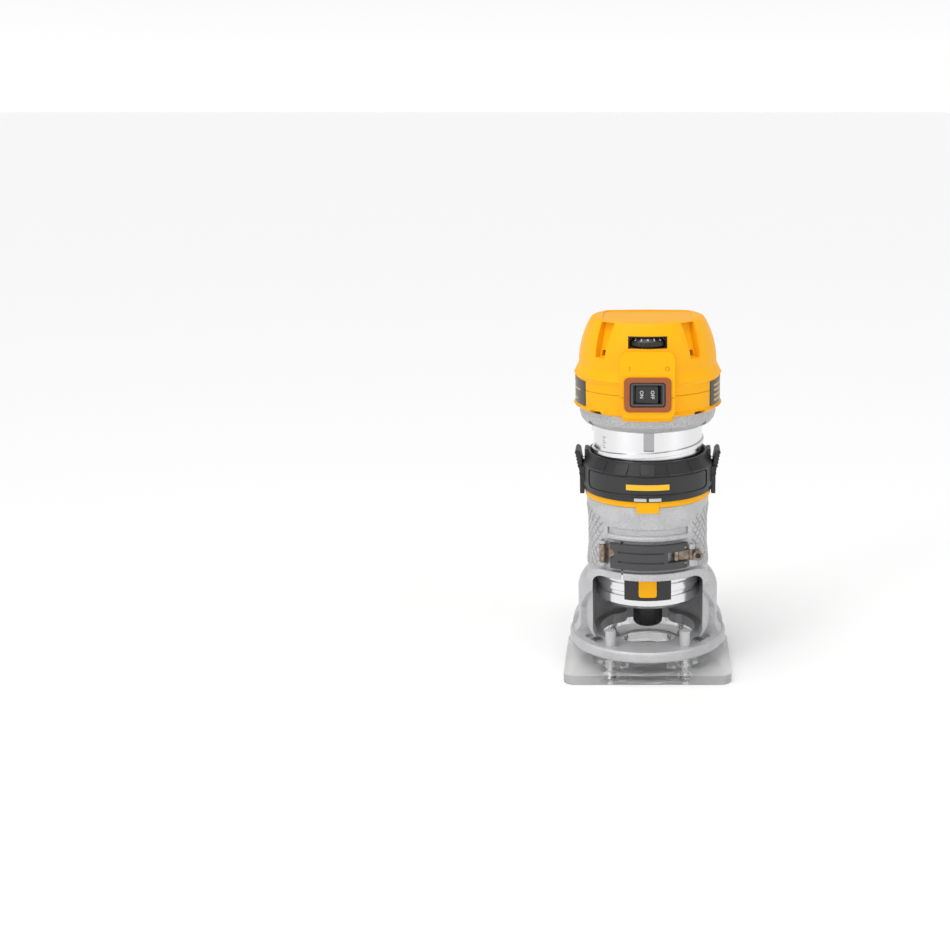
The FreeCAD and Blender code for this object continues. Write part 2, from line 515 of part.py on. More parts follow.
PIN_PLAY = 0.02
lever_x, lever_y = d.lever_pin_x, -d.lever_pin_y
link_x, link_y = d.link_pin_x, -d.link_pin_y
lever_top = d.lever_bottom + d.lever_height
lever_span = (d.lever_bottom, lever_top)
front_half = (-FAR, -20)
through = (d.lever_bottom - 11, lever_top + 13)
tip_share = 3.6
strap_arc = common("strap_arc", [
    tube("strap_ring", d.strap_outer, d.strap_inner, strap_height),
    box("strap_front", (1.5 - d.strap_pin_x, lever_x + 0.5), front_half, strap_height)])
fork_gap = box("fork_gap", (lever_x - 11.4, lever_x + 7.1), front_half,
               (d.lever_bottom + tip_share, lever_top - tip_share))
strap_knuckle = rod("strap_knuckle", d.clamp_pin_radius + 1.3, strap_height, strap_x, strap_y)
strap_tip = rod("strap_tip", d.clamp_pin_radius + 0.8, strap_height, lever_x, lever_y)
strap_ways = [rod("strap_anchor_way", d.clamp_pin_radius, through, strap_x, strap_y),
              rod("strap_tip_way", d.clamp_pin_radius, through, lever_x, lever_y)]
publish("clamp_strap", cut("clamp_strap_body", fuse("strap_solid", [strap_arc, strap_knuckle, strap_tip]),
                           [fork_gap] + strap_ways))
publish("strap_pin", rod("strap_pin_body", d.clamp_pin_radius - PIN_PLAY,
                         (d.lever_bottom, lever_top + 0.6), strap_x, strap_y))

# The lever is an arc with end plates over the strap's tips, and webs above and below the link.
link_gap_span = (d.link_bottom - d.hinge_gap, d.link_bottom + d.link_height + d.hinge_gap)
tip_low = (strap_height[0] - d.hinge_gap, d.lever_bottom + tip_share + d.hinge_gap)
tip_high = (lever_top - tip_share - d.hinge_gap, strap_height[1] + d.hinge_gap)
web_low = (tip_low[1], link_gap_span[0])
web_high = (link_gap_span[1], tip_high[0])
tip_room = d.clamp_pin_radius + 1.1
lever_arc = common("lever_arc", [
    tube("lever_ring", d.lever_outer, d.lever_inner, lever_span),
    box("lever_front", (4.7 - d.strap_pin_x, lever_x), front_half, lever_span)])
lever_end = common("lever_end", [rod("lever_end_round", tip_room, lever_span, lever_x, lever_y),
                                 rod("lever_end_limit", d.lever_outer, lever_span)])
web_shapes = []
for level, span in (("low", web_low), ("high", web_high)):
    web_shapes.append(common(f"web_{level}", [
        tube(f"web_ring_{level}", d.lever_outer - 1, d.strap_inner + 0.2, span),
        box(f"web_front_{level}", (link_x - 2, lever_x), front_half, span)]))
lever_tip_rooms = [rod("lever_room_low", tip_room, tip_low, lever_x, lever_y),
                   rod("lever_room_high", tip_room, tip_high, lever_x, lever_y)]
lever_window = box("lever_window", (link_x - 5, lever_x + 7.1), front_half, link_gap_span)
lever_notch = lying_rod("lever_notch", 3.2, 30, (4.2 - d.strap_pin_x, -50, d.lever_bottom + d.lever_height / 2 + 1.5), TO_BACK)
lever_grooves = []
for index, share in enumerate((0.275, 0.6625)):
    low = d.lever_bottom + share * d.lever_height
    lever_grooves.append(common(f"lever_groove_{index}", [
        tube(f"lever_groove_ring_{index}", d.lever_outer + 1, d.lever_outer - 0.7, (low, low + 1.1)),
        box(f"lever_groove_front_{index}", (-18.5, link_x - 7.5), front_half, lever_span)]))
link_pin_radius = d.clamp_pin_radius - 0.1
link_pin_span = (web_low[0] + 0.2, web_high[1] - 0.2)
lever_ways = [rod("lever_pin_way", d.clamp_pin_radius, through, lever_x, lever_y),
              rod("link_pin_way", link_pin_radius, link_pin_span, link_x, link_y)]
publish("clamp_lever", cut("clamp_lever_body", fuse("lever_solid", [lever_arc, lever_end] + web_shapes),
                           [lever_window, lever_notch] + lever_tip_rooms + lever_grooves + lever_ways))
publish("lever_pins", fuse("lever_pin_set", [
    rod("lever_pin_low", d.clamp_pin_radius - PIN_PLAY, (d.lever_bottom + 0.2, web_low[1]), lever_x, lever_y),
    rod("lever_pin_high", d.clamp_pin_radius - PIN_PLAY, (web_high[0], lever_top - 0.2), lever_x, lever_y)]))
publish("link_pin", rod("link_pin_body", link_pin_radius, link_pin_span, link_x, link_y))

link_span = (d.link_bottom, d.link_bottom + d.link_height)
link_eye = link_pin_radius + d.link_eye_gap
eye_rim = fuse("link_rims", [rod("link_eye_round", link_eye + 0.45, link_span, link_x, link_y),
                             rod("link_hook_round", knuckle_radius, link_span, hook_x, hook_y)])
link_across, link_forward = hook_x - link_x, link_y - hook_y
link_length = math.hypot(link_across.number, link_forward.number)
link_heading = math.degrees(math.atan2(-link_forward.number, link_across.number))
link_bar = box("link_bar", (0, link_length), (0, d.link_thickness), (0, d.link_height))
link_bar.Placement = FreeCAD.Placement(FreeCAD.Vector(0, 0, 0), FreeCAD.Rotation(link_heading, 0, 0))
side_x, side_y = polar(d.link_thickness / 2, link_heading - 90)
bind(link_bar, Placement__Base__x=link_x + side_x, Placement__Base__y=link_y + side_y,
     Placement__Base__z=d.link_bottom)
publish("clamp_link", cut("clamp_link_body", fuse("link_solid", [link_bar, eye_rim]),
                          [rod("link_eye_way", link_eye, through, link_x, link_y),
                           rod("link_hook_way", d.clamp_pin_radius + 0.03, through, hook_x, hook_y)]))
publish("hook_pin", rod("hook_pin_body", d.clamp_pin_radius, (d.lever_bottom + 0.4, lever_top - 1.7), hook_x, hook_y))

# The tension screw's head is in front of the hook, and its shank ends inside the boss.
head_back = d.hook_pin_y + knuckle_radius + 0.5
adjuster_shank = lying_rod("adjuster_shank", d.adjuster_radius, head_back - d.adjuster_y - 1.4,
                           (d.adjuster_x, -d.adjuster_y - 1.4, d.adjuster_z), TO_FRONT)
adjuster_head = lying_rod("adjuster_head", d.adjuster_head_radius, d.adjuster_head_length,
                          (d.adjuster_x, -head_back, d.adjuster_z), TO_FRONT)
adjuster_socket = lying_rod("adjuster_socket", 1.5, 3, (d.adjuster_x, -head_back - 1.2, d.adjuster_z), TO_FRONT)
publish("tension_screw", cut("tension_screw_body", fuse("adjuster_solid", [adjuster_shank, adjuster_head]),
                             [adjuster_socket]))


# ---------------------------------------------------------------- scale ring and height ring

scale_bottom = d.barrel_top + d.scale_gap
scale_top = scale_bottom + d.scale_height
ring_bottom = scale_top + d.scale_gap
ring_top = ring_bottom + d.ring_height
tab_drop_span = (scale_bottom - d.scale_tab_drop, scale_top)
scale_tab = common("scale_tab", [
    tube("scale_tab_ring", d.scale_radius + 0.4, d.collar_radius + d.ring_gap, tab_drop_span),
    box("scale_tab_front", (-d.scale_tab_width / 2, d.scale_tab_width / 2), front_half, tab_drop_span)])
publish("scale_ring", fuse("scale_ring_body", [
    tube("scale_band", d.scale_radius, d.neck_radius + d.ring_gap, (scale_bottom, scale_top)), scale_tab]))

shoulder_z = ring_top - d.ring_shoulder
flute_z = ring_bottom + d.ring_flute
lip_top = ring_bottom + d.ring_lip_height
bead_room = d.bead_radius + 0.4
ring_outline = [
    (d.ring_bore, ring_top), (d.ring_top_radius, ring_top), (d.ring_radius, shoulder_z), (d.ring_radius, flute_z),
    (d.ring_radius - 1, flute_z - 0.4), (d.ring_radius - 1, ring_bottom), (d.neck_radius + d.ring_gap, ring_bottom),
    (d.neck_radius + d.ring_gap, lip_top), (bead_room, lip_top), (bead_room, d.neck_top + d.ring_gap),
    (d.ring_bore, d.neck_top + d.ring_gap + 1.2)]
pad_inner = d.ring_top_radius - 1
pad_cone = turned("pad_cone", [
    (pad_inner, ring_top - 0.8), (d.ring_top_radius + d.pad_rise + 0.2, ring_top - 0.8),
    (d.ring_radius + d.pad_rise, shoulder_z + 0.6), (d.ring_radius + d.pad_rise, shoulder_z - 0.6),
    (pad_inner, shoulder_z - 0.6)])
pad_angles = [middle + step for middle in (TO_BACK, TO_FRONT) for step in (-47, -24, 0, 24, 47)]
pad_blocks = []
for angle in pad_angles:
    x, y = polar(d.ring_top_radius * 1.06, angle)
    pad_blocks.append(rod(f"pad_block_{angle}", d.pad_width / 2, (shoulder_z - 2, ring_top + 1), x, y))
pads = common("pads", [pad_cone, fuse("pad_blocks", pad_blocks)])

# A framed panel in front and behind, drawn by a fine groove.
panel_span = (flute_z + 0.9, shoulder_z - 0.5)
line = d.panel_line
panel_frame = cut("panel_frame", rounded_front("panel_outside", d.panel_half_width, (-FAR, FAR), panel_span, 2.4), [
    rounded_front("panel_inside", d.panel_half_width - line, (-FAR - 1, FAR + 1),
                  (panel_span[0] + line, panel_span[1] - line), 1.6)])
panel_groove = common("panel_groove", [
    tube("panel_ring", d.ring_radius + 2, d.ring_radius - d.panel_depth, panel_span), panel_frame])
tab_half = d.tab_width / 2
slot_half_width = tab_half + d.tab_gap
ear_width = 2.65
ear_inner = d.tab_inner - 2.8
ear_height = (d.tab_pivot_z - 5, d.tab_pivot_z + 5)


def beside(side, near, far):
    """The span between two distances from the spindle axis, on the right (1) or the left (-1)."""
    return (near, far) if side > 0 else (-as_size(far), -as_size(near))


tab_slots, barrel_rooms, tab_ears, pin_ways = [], [], [], []
for side in (1, -1):
    pivot = side * d.tab_pivot_x
    tab_slots.append(box(f"tab_slot_{side}", beside(side, d.tab_inner - d.tab_gap, FAR),
                         (-slot_half_width, slot_half_width), (d.barrel_top - 10, d.barrel_top + 40)))
    barrel_rooms.append(lying_rod(f"tab_slot_barrel_{side}", d.tab_pin_radius + 1.3, 2 * slot_half_width,
                                  (pivot, -slot_half_width, d.tab_pivot_z), TO_BACK))
    for end, limits in (("rear", (slot_half_width, slot_half_width + ear_width)),
                        ("front", (-slot_half_width - ear_width, -slot_half_width))):
        tab_ears.append(box(f"tab_ear_{end}_{side}", beside(side, ear_inner, d.tab_outer - 0.2), limits, ear_height))
    tab_ears.append(box(f"tab_stop_{side}", beside(side, ear_inner, ear_inner + 2.4), (-6, 6), (ring_top - 3, d.tab_top)))
    pin_ways.append(lying_rod(f"tab_pin_way_{side}", d.tab_pin_radius, 2 * (slot_half_width + ear_width),
                              (pivot, -slot_half_width - ear_width, d.tab_pivot_z), TO_BACK))

# Lugs on the ring's bore lie just above and below the can's helical ridge.
ridge_low = d.ridge_start + d.helix_lead
ridge_high = ridge_low + d.ridge_height
half_lead = d.helix_lead / 2
lug_reach = (d.can_radius + d.lug_gap, d.ring_bore + 0.6)
lug_sides = (-d.lug_width / 2, d.lug_width / 2)
ring_lugs = []
for place_name, low, high, reach in (
        ("front", ridge_low, ridge_high, (-lug_reach[1], -lug_reach[0])),
        ("rear", ridge_low + half_lead, ridge_high - half_lead, lug_reach)):
    ring_lugs.append(box(f"{place_name}_lug_under", lug_sides, reach, (low - d.lug_gap - d.lug_height, low - d.lug_gap)))
    ring_lugs.append(box(f"{place_name}_lug_over", lug_sides, reach, (high + d.lug_gap, high + d.lug_gap + d.lug_height)))
ring_walls = fuse("ring_walls", [cut("ring_panelled", turned("ring_turned", ring_outline), [panel_groove]), pads])
ring_solid = cut("ring_slotted", ring_walls, tab_slots)
publish("height_ring", cut("height_ring_body", fuse("ring_whole", [ring_solid] + tab_ears + ring_lugs),
                           barrel_rooms + pin_ways))

tab_barrel = d.tab_pin_radius + 0.9
for side, word in ((1, "right"), (-1, "left")):
    plate_span = beside(side, d.tab_inner, d.tab_outer)
    low = box(f"tab_low_{word}", plate_span, (-tab_half, tab_half), (d.tab_bottom, d.tab_pivot_z))
    high = box(f"tab_high_{word}", (0, d.tab_outer - d.tab_inner), (-tab_half, tab_half),
               (0, d.tab_top - d.tab_pivot_z - 0.8))
    lean = FreeCAD.Rotation(FreeCAD.Vector(0, 1, 0), side * DIMENSIONS["tab_lean"])
    high.Placement = FreeCAD.Placement(FreeCAD.Vector(0, 0, 0), lean)
    bind(high, Placement__Base__x=plate_span[0], Placement__Base__y=-tab_half, Placement__Base__z=d.tab_pivot_z - 0.2)
    grip = []
    tan_lean = math.tan(math.radians(DIMENSIONS["tab_lean"]))
    for index in range(4):
        rise = 4 + index * 2.2
        grip.append(lying_rod(f"tab_grip_{word}_{index}", 0.7, d.tab_width - 4,
                              (side * (d.tab_outer + 0.1 + tan_lean * rise), 2 - tab_half, d.tab_pivot_z + rise), TO_BACK))
    top_x = side * (d.tab_outer - 0.9 + tan_lean * 14.2)
    top_bead = lying_rod(f"tab_bead_{word}", 1.5, d.tab_width, (top_x, -tab_half, d.tab_top - 1.5), TO_BACK)
    barrel_rod = lying_rod(f"tab_barrel_{word}", tab_barrel, d.tab_width, (side * d.tab_pivot_x, -tab_half, d.tab_pivot_z),
                           TO_BACK)
    way = lying_rod(f"tab_barrel_way_{word}", d.tab_pin_radius + 0.04, d.tab_width + 4,
                    (side * d.tab_pivot_x, -tab_half - 2, d.tab_pivot_z), TO_BACK)
    tab_solid = fuse(f"tab_solid_{word}", [low, high, barrel_rod, top_bead] + grip)
    publish(f"release_tab_{word}", cut(f"release_tab_{word}_body", tab_solid, [way]))
    spring_span = beside(side, d.tab_inner - d.tab_gap, d.tab_inner - d.tab_gap + 1.2)
    publish(f"tab_spring_{word}", lying_rod(f"tab_spring_{word}_body", 1.6, spring_span[1] - spring_span[0],
                                            (spring_span[0], 0, d.tab_pivot_z + 7.4), 0))
publish("tab_pins", fuse("tab_pin_set", [
    lying_rod(f"tab_pin_{side}", d.tab_pin_radius, d.tab_width + 5.6,
              (side * d.tab_pivot_x, -tab_half - 2.8, d.tab_pivot_z), TO_BACK) for side in (1, -1)]))


# ---------------------------------------------------------------- motor can

cavity = d.can_radius - d.can_wall
floor_top = d.nose_bottom + d.nose_floor
spindle_way = d.spindle_radius + 2.2
can_outline = [
    (spindle_way, d.nose_bottom), (d.nose_radius - 2.4, d.nose_bottom), (d.nose_radius, d.nose_bottom + 2.4),
    (d.nose_radius, d.nose_bottom + 8), (d.nose_radius - 0.9, d.nose_bottom + 8.6),
    (d.nose_radius - 0.9, d.nose_bottom + 10.6), (d.nose_radius, d.nose_bottom + 11.2), (d.nose_radius, d.nose_top),
    (d.can_radius, d.nose_top + 1.4), (d.can_radius, d.nose_top + 8), (d.ridge_radius, d.nose_top + 9),
    (d.ridge_radius, d.nose_top + 17), (d.can_radius, d.nose_top + 18), (d.can_radius, d.flange_bottom),
    (d.can_radius + 2.5, d.flange_bottom), (d.flange_radius - 3.1, d.flange_bottom + 1.3),
    (d.flange_radius - 1, d.flange_bottom + 3.9), (d.flange_radius - 0.1, d.flange_bottom + 7.5),
    (d.flange_radius - 0.1, d.flange_top),
    (cavity, d.flange_top), (cavity, floor_top), (d.low_bearing_radius, floor_top),
    (d.low_bearing_radius, d.low_bearing_z), (spindle_way, d.low_bearing_z)]
ridge_base = d.can_radius.number - 0.6
ridge_path = Part.makeHelix(d.helix_lead.number, d.helix_lead.number * d.ridge_turns.number, ridge_base)
ridge_corners = [(ridge_base, 0), (d.ridge_radius.number, 0.5),
                 (d.ridge_radius.number, d.ridge_height.number - 0.5), (ridge_base, d.ridge_height.number)]
ridge_face = Part.makePolygon([FreeCAD.Vector(x, 0, z) for x, z in ridge_corners + ridge_corners[:1]])
ridge = doc.addObject("Part::Feature", "helical_ridge")
ridge.Shape = Part.Wire(ridge_path).makePipeShell([ridge_face], True, True)
place(ridge, 0, 0, d.ridge_start, (0, 0, 1), TO_FRONT)
lock_sides = (-d.lock_width / 2, d.lock_width / 2)
lock_span = (d.lock_bottom, d.lock_top)
lock_back = d.nose_radius - 2.2
button_half = d.button_width / 2 + d.button_gap
button_span = (d.button_bottom - d.button_gap, d.button_top + d.button_gap)
button_front = d.lock_front + 0.6
button_depth = 2.6
lock_pocket = box("lock_pocket", lock_sides, (-FAR, -lock_back), lock_span)
button_back = button_front - button_depth - d.button_travel - 0.5
button_pocket = box("button_pocket", (-button_half, button_half), (-FAR, -button_back), button_span)
guide_span = (floor_top - 1, d.plunger_z + 3.6)
guide_block = box("guide_block", (-5, 5), (-button_back, -d.lock_disc_radius - 8), guide_span)
plunger_way = lying_rod("plunger_way", d.plunger_radius + 0.3, d.can_radius - 4.5,
                        (0, -d.can_radius - 5.5, d.plunger_z), TO_BACK)
front_groove = box("front_groove", (-2.4, 3.8), (-d.can_radius - 5, -d.can_radius + 1),
                   (d.flange_bottom - 12, d.flange_bottom - 0.6))
groove_depths = (d.can_radius - d.groove_depth, d.can_radius + 10)
rear_groove = box("rear_groove", (-d.groove_width / 2, d.groove_width / 2), groove_depths, (d.groove_bottom, d.groove_top))
pad_block = box("can_pad", (-6.5, 6.5), (-d.can_radius - 1.4, -d.can_radius + 1.4),
                (d.flange_bottom - 0.4, d.flange_bottom + 2))
led_circle = d.nose_radius - 10.8
led_ways = [rod(f"led_way_{side}", 2.5, (d.nose_bottom - 1, floor_top + 1), side * led_circle, 0) for side in (1, -1)]
HOUSING_SCREWS = (32, 148, 212, 328)
screw_way_radius = d.housing_screw_radius + 0.05
screw_seat_z = d.flange_top - 4.4
screw_places = {angle: polar(d.housing_screw_circle, angle) for angle in HOUSING_SCREWS}
flange_ways = []
for angle, (x, y) in screw_places.items():
    flange_ways.append(rod(f"flange_way_{angle}", screw_way_radius, (d.flange_bottom - 2, d.flange_top + 1), x, y))
    flange_ways.append(rod(f"flange_seat_{angle}", d.housing_screw_head + 0.3, (d.flange_bottom - 2, screw_seat_z), x, y))
can_solid = fuse("can_solid", [turned("can_turned", can_outline), pad_block])
can_cut = cut("can_cut", can_solid, [lock_pocket, button_pocket, front_groove, rear_groove] + led_ways + flange_ways)
ridge_cut = cut("ridge_cut", ridge, [rear_groove])
guide_open = cut("guide_block_open", guide_block, [plunger_way])
publish("motor_can", fuse("motor_can_body", [can_cut, guide_open, ridge_cut]))

surround = common("surround_curved", [box("surround_box", lock_sides, (-FAR, -lock_back), lock_span),
                                      rod("surround_limit", d.lock_front, lock_span)])
publish("lock_surround", cut("lock_surround_body", surround, [
    box("surround_opening", (-button_half, button_half), front_half, button_span)]))
button_cap = common("button_cap", [
    rounded_front("button_block", d.button_width / 2, (-FAR, -button_front + button_depth),
                  (d.button_bottom, d.button_top), 1.4),
    rod("button_limit", button_front, (d.button_bottom, d.button_top))])
plunger_tip = d.lock_disc_radius + 1
plunger_start = (0, -button_front + button_depth, d.plunger_z)
plunger = lying_rod("plunger", d.plunger_radius, button_front - button_depth - plunger_tip, plunger_start, TO_BACK)
publish("lock_button", fuse("lock_button_body", [button_cap, plunger]))
spring_outer = lying_rod("lock_spring_outer", d.plunger_radius + 1.1, button_front - button_depth - button_back,
                         plunger_start, TO_BACK)
spring_inner = lying_rod("lock_spring_inner", d.plunger_radius + 0.3, 20, (0, -button_front, d.plunger_z), TO_BACK)
publish("lock_spring", cut("lock_spring_body", spring_outer, [spring_inner]))
led_ring = tube("led_ring", led_circle + 6, led_circle - 7, (floor_top, floor_top + 1.5))
led_gap = box("led_board_gap", (-6.5, 6.5), (-FAR, 0), (floor_top - 1, floor_top + 3))
publish("led_board", cut("led_board_body", led_ring, [led_gap]))
publish("led_lenses", fuse("led_lens_set", [
    rod(f"led_lens_{side}", 2.5, (d.nose_bottom - 0.5, floor_top), side * led_circle, 0) for side in (1, -1)]))


# ---------------------------------------------------------------- spindle line

COLLET_SLIT = 0.7
nut_span = (d.nut_bottom, d.nut_bottom + d.nut_height)
nose_outer = d.spindle_radius + 1.2
collet_outer = d.spindle_radius - 0.5
hexagon = doc.addObject("Part::Prism", "nut_hexagon")
hexagon.Polygon = 6
bind(hexagon, Circumradius=d.nut_flats / math.sqrt(3), Height=d.nut_height)
place(hexagon, 0, 0, d.nut_bottom)
nut_round = turned("nut_round", [
    (collet_outer - 1.1, nut_span[0]), (d.nut_radius - 2.6, nut_span[0]), (d.nut_radius, nut_span[0] + 2.6, 3.2, 1),
    (d.nut_radius, nut_span[1] - 0.6), (d.nut_radius - 0.6, nut_span[1]), (nose_outer, nut_span[1]),
    (nose_outer, nut_span[0] + 8), (collet_outer + 1, nut_span[0] + 5.6), (collet_outer - 1.1, nut_span[0] + 1.6)])
publish("collet_nut", common("collet_nut_body", [hexagon, nut_round]))
collet_turned = turned("collet_turned", [
    (d.collet_bore, nut_span[0] + 1.6), (collet_outer - 1.1, nut_span[0] + 1.6), (collet_outer + 1, nut_span[0] + 5.6),
    (collet_outer, nut_span[0] + 7.6), (collet_outer, nut_span[0] + 17), (d.collet_bore, nut_span[0] + 17)])
collet_slits = []
for angle in (0, 60, 120):
    reach = d.spindle_radius + 2
    slit_box = box(f"collet_slit_{angle}", (0, reach * 2), (0, COLLET_SLIT), (0, 13))
    slit_box.Placement = FreeCAD.Placement(FreeCAD.Vector(0, 0, 0), FreeCAD.Rotation(angle, 0, 0))
    back_x, back_y = polar(reach, angle + 180)
    side_x, side_y = polar(COLLET_SLIT / 2, angle - 90)
    bind(slit_box, Placement__Base__x=back_x + side_x, Placement__Base__y=back_y + side_y,
         Placement__Base__z=nut_span[0] + 1)
    collet_slits.append(slit_box)
publish("collet", cut("collet_body", collet_turned, collet_slits))
shaft_top = d.high_bearing_z + d.high_bearing_width + 1
spindle = turned("spindle_turned", [
    (collet_outer, nut_span[0] + 8.4), (nose_outer, nut_span[0] + 8.4), (nose_outer, d.low_bearing_z),
    (d.spindle_radius, d.low_bearing_z), (d.spindle_radius, d.high_bearing_z), (d.high_journal, d.high_bearing_z),
    (d.high_journal, shaft_top), (0, shaft_top), (0, nut_span[0] + 17), (collet_outer, nut_span[0] + 17)])
publish("spindle", spindle)
lock_disc = tube("lock_disc_turned", d.lock_disc_radius, d.spindle_radius, (d.plunger_z - 2.2, d.plunger_z + 2.2))
notch_half = d.plunger_radius + 0.4
notch_span = (d.plunger_z - 3, d.plunger_z + 3)
publish("lock_disc", cut("lock_disc_body", lock_disc, [
    box("disc_notch_front", (-notch_half, notch_half), (-FAR, -d.lock_disc_radius + 2.6), notch_span),
    box("disc_notch_rear", (-notch_half, notch_half), (d.lock_disc_radius - 2.6, FAR), notch_span)]))


def bearing(name, outer, inner, bottom, width, ball_count):
    """Outer race, inner race and balls, with the balls free of both races by the ball gap."""
    middle = (outer + inner) / 2
    ball = (outer - inner) * 0.25
    race = (outer - inner) * d.race_share
    centre = bottom + width / 2
    groove = [torus(f"{name}_groove_{index}", middle, ball + d.ball_gap, centre) for index in (1, 2)]
    span = (bottom, bottom + width)
    publish(f"{name}_outer_race", cut(f"{name}_outer_body", tube(f"{name}_outer_ring", outer, outer - race, span), groove[:1]))
    publish(f"{name}_inner_race", cut(f"{name}_inner_body", tube(f"{name}_inner_ring", inner + race, inner, span), groove[1:]))
    balls = []
    for index in range(ball_count):
        item = doc.addObject("Part::Sphere", f"{name}_ball_{index}")
        bind(item, Radius=ball)
        x, y = polar(middle, 360 / ball_count * index + 15)
        balls.append(place(item, x, y, centre))
    publish(f"{name}_balls", fuse(f"{name}_ball_set", balls))


bearing("lower_bearing", d.low_bearing_radius, d.spindle_radius, d.low_bearing_z, d.low_bearing_width, 8)
bearing("upper_bearing", d.high_bearing_radius, d.high_journal, d.high_bearing_z, d.high_bearing_width, 7)
bracket_turned = turned("bracket_turned", [
    (d.high_bearing_radius, d.high_bearing_z), (d.high_bearing_radius, d.high_bearing_z + d.high_bearing_width),
    (d.high_bearing_radius - 1.5, d.high_bearing_z + d.high_bearing_width),
    (d.high_bearing_radius - 1.5, shaft_top + 0.4), (d.high_bearing_radius + 3, shaft_top + 0.4),
    (d.high_bearing_radius + 3, d.high_bearing_z + 5), (cavity, d.high_bearing_z + 5), (cavity, d.high_bearing_z)])
air_circle = (cavity + d.high_bearing_radius + 1.5) / 2
air_span = (d.high_bearing_z - 1, d.high_bearing_z + d.high_bearing_width)
air_holes = [rod(f"air_hole_{angle}", 5, air_span, *polar(air_circle, angle)) for angle in range(0, 360, 60)]
publish("bearing_bracket", cut("bearing_bracket_body", bracket_turned, air_holes))

fan_hub = tube("fan_hub", d.spindle_radius + 4, d.spindle_radius, (d.fan_bottom, d.fan_bottom + d.fan_height))
fan_disc = tube("fan_disc", d.fan_radius, d.spindle_radius, (d.fan_bottom, d.fan_bottom + 1.6))
blades = []
for angle in range(0, 360, 30):
    blade = box(f"fan_blade_{angle}", (0, d.fan_radius - 11), (-0.7, 0.7), (0, d.fan_height))
    blade.Placement = FreeCAD.Placement(FreeCAD.Vector(0, 0, 0), FreeCAD.Rotation(angle + 18, 0, 0))
    x, y = polar(d.spindle_radius + 3.4, angle)
    bind(blade, Placement__Base__x=x, Placement__Base__y=y, Placement__Base__z=d.fan_bottom)
    blades.append(blade)
fan_limit = rod("fan_limit", d.fan_radius, (d.fan_bottom, d.fan_bottom + d.fan_height))
publish("cooling_fan", common("cooling_fan_body", [fuse("fan_solid", [fan_hub, fan_disc] + blades), fan_limit]))

stack = (d.stack_bottom, d.stack_bottom + d.stack_height)
coil_outer, coil_inner = cavity - 5.5, d.stack_bore + 0.8
field_ring = tube("field_ring", cavity, d.stack_bore, stack)
coil_slots = common("coil_slots", [tube("coil_slot_ring", coil_outer, d.stack_bore - 1, stack),
                                   box("coil_slot_sides", (-cavity, cavity), (-11, 11), stack)])
publish("field_core", cut("field_core_body", field_ring, [coil_slots]))
coil_span = (stack[0] - 6, stack[1] + 6)
coil_legs = common("coil_legs", [tube("coil_leg_ring", coil_outer, coil_inner, coil_span),
                                 box("coil_leg_sides", (-cavity, cavity), (-11, 11), coil_span)])
coil_ends = [tube("coil_end_low", coil_outer, coil_inner, (coil_span[0], stack[0])),
             tube("coil_end_high", coil_outer, coil_inner, (stack[1], coil_span[1]))]
publish("field_coils", fuse("field_coils_body", [coil_legs] + coil_ends))
armature_radius = d.stack_bore - d.air_gap


def radial_bars(name, inner, outer, width, span, count):
    bars = []
    for index in range(count):
        angle = 360 / count * index
        bar = box(f"{name}_{index}", (0, outer - as_size(inner)), (-width / 2, width / 2), (0, span[1] - as_size(span[0])))
        bar.Placement = FreeCAD.Placement(FreeCAD.Vector(0, 0, 0), FreeCAD.Rotation(angle, 0, 0))
        x, y = polar(inner, angle)
        side_x, side_y = polar(width / 2, angle - 90)
        bind(bar, Placement__Base__x=x + side_x, Placement__Base__y=y + side_y, Placement__Base__z=span[0])
        bars.append(bar)
    return bars


slot_inner = d.spindle_radius + 5
slots = radial_bars("armature_slot", slot_inner, armature_radius + 1, 2.2, stack, 12)
publish("armature_core", cut("armature_core_body", tube("armature_stack", armature_radius, d.spindle_radius, stack), slots))
bars = radial_bars("winding_bar", slot_inner, armature_radius - 0.8, 2.2, stack, 12)
winding_ends = [tube("winding_low", armature_radius - 1.5, d.spindle_radius, (stack[0] - 7, stack[0])),
                tube("winding_high", armature_radius - 1.5, d.spindle_radius, (stack[1], stack[1] + 7))]
publish("armature_windings", fuse("armature_windings_body", winding_ends + bars))
copper = (d.commutator_bottom, d.commutator_bottom + d.commutator_height)
publish("commutator", cut("commutator_body", tube("commutator_drum", d.commutator_radius, d.spindle_radius, copper),
                          radial_bars("commutator_slit", d.commutator_radius - 1, d.commutator_radius + 1, 0.5, copper, 20)))

brush_mid = copper[0] + d.commutator_height / 2
holders, brushes, brush_springs = [], [], []
brush_back = d.commutator_radius + 11
holder_back = cavity - 1.6


def brush_block(name, reach, spare):
    """A block round the brush's own section, larger by the spare on all four sides."""
    return box(name, reach, (-d.brush_width / 2 - spare, d.brush_width / 2 + spare),
               (brush_mid - d.brush_height / 2 - spare, brush_mid + d.brush_height / 2 + spare))


for side in (1, -1):
    shell = common(f"holder_shell_{side}", [
        brush_block(f"holder_box_{side}", beside(side, d.commutator_radius + 2, FAR), 1.2),
        rod(f"holder_limit_{side}", cavity, (copper[0] - 10, copper[1] + 10))])
    holders.append(cut(f"holder_{side}", shell, [
        brush_block(f"holder_way_{side}", beside(side, d.spindle_radius - 1, holder_back), 0.05)]))
    brushes.append(brush_block(f"brush_{side}", beside(side, d.commutator_radius + 0.05, brush_back), 0))
    spring_span = beside(side, brush_back, holder_back - 0.4)
    way_span = beside(side, 0, FAR)
    brush_springs.append(cut(f"brush_spring_{side}", lying_rod(
        f"brush_spring_outer_{side}", 2.4, spring_span[1] - spring_span[0], (spring_span[0], 0, brush_mid), 0),
        [lying_rod(f"brush_spring_inner_{side}", 1.7, FAR, (way_span[0], 0, brush_mid), 0)]))
publish("brush_holders", fuse("brush_holder_set", holders))
publish("carbon_brushes", fuse("carbon_brush_set", brushes))
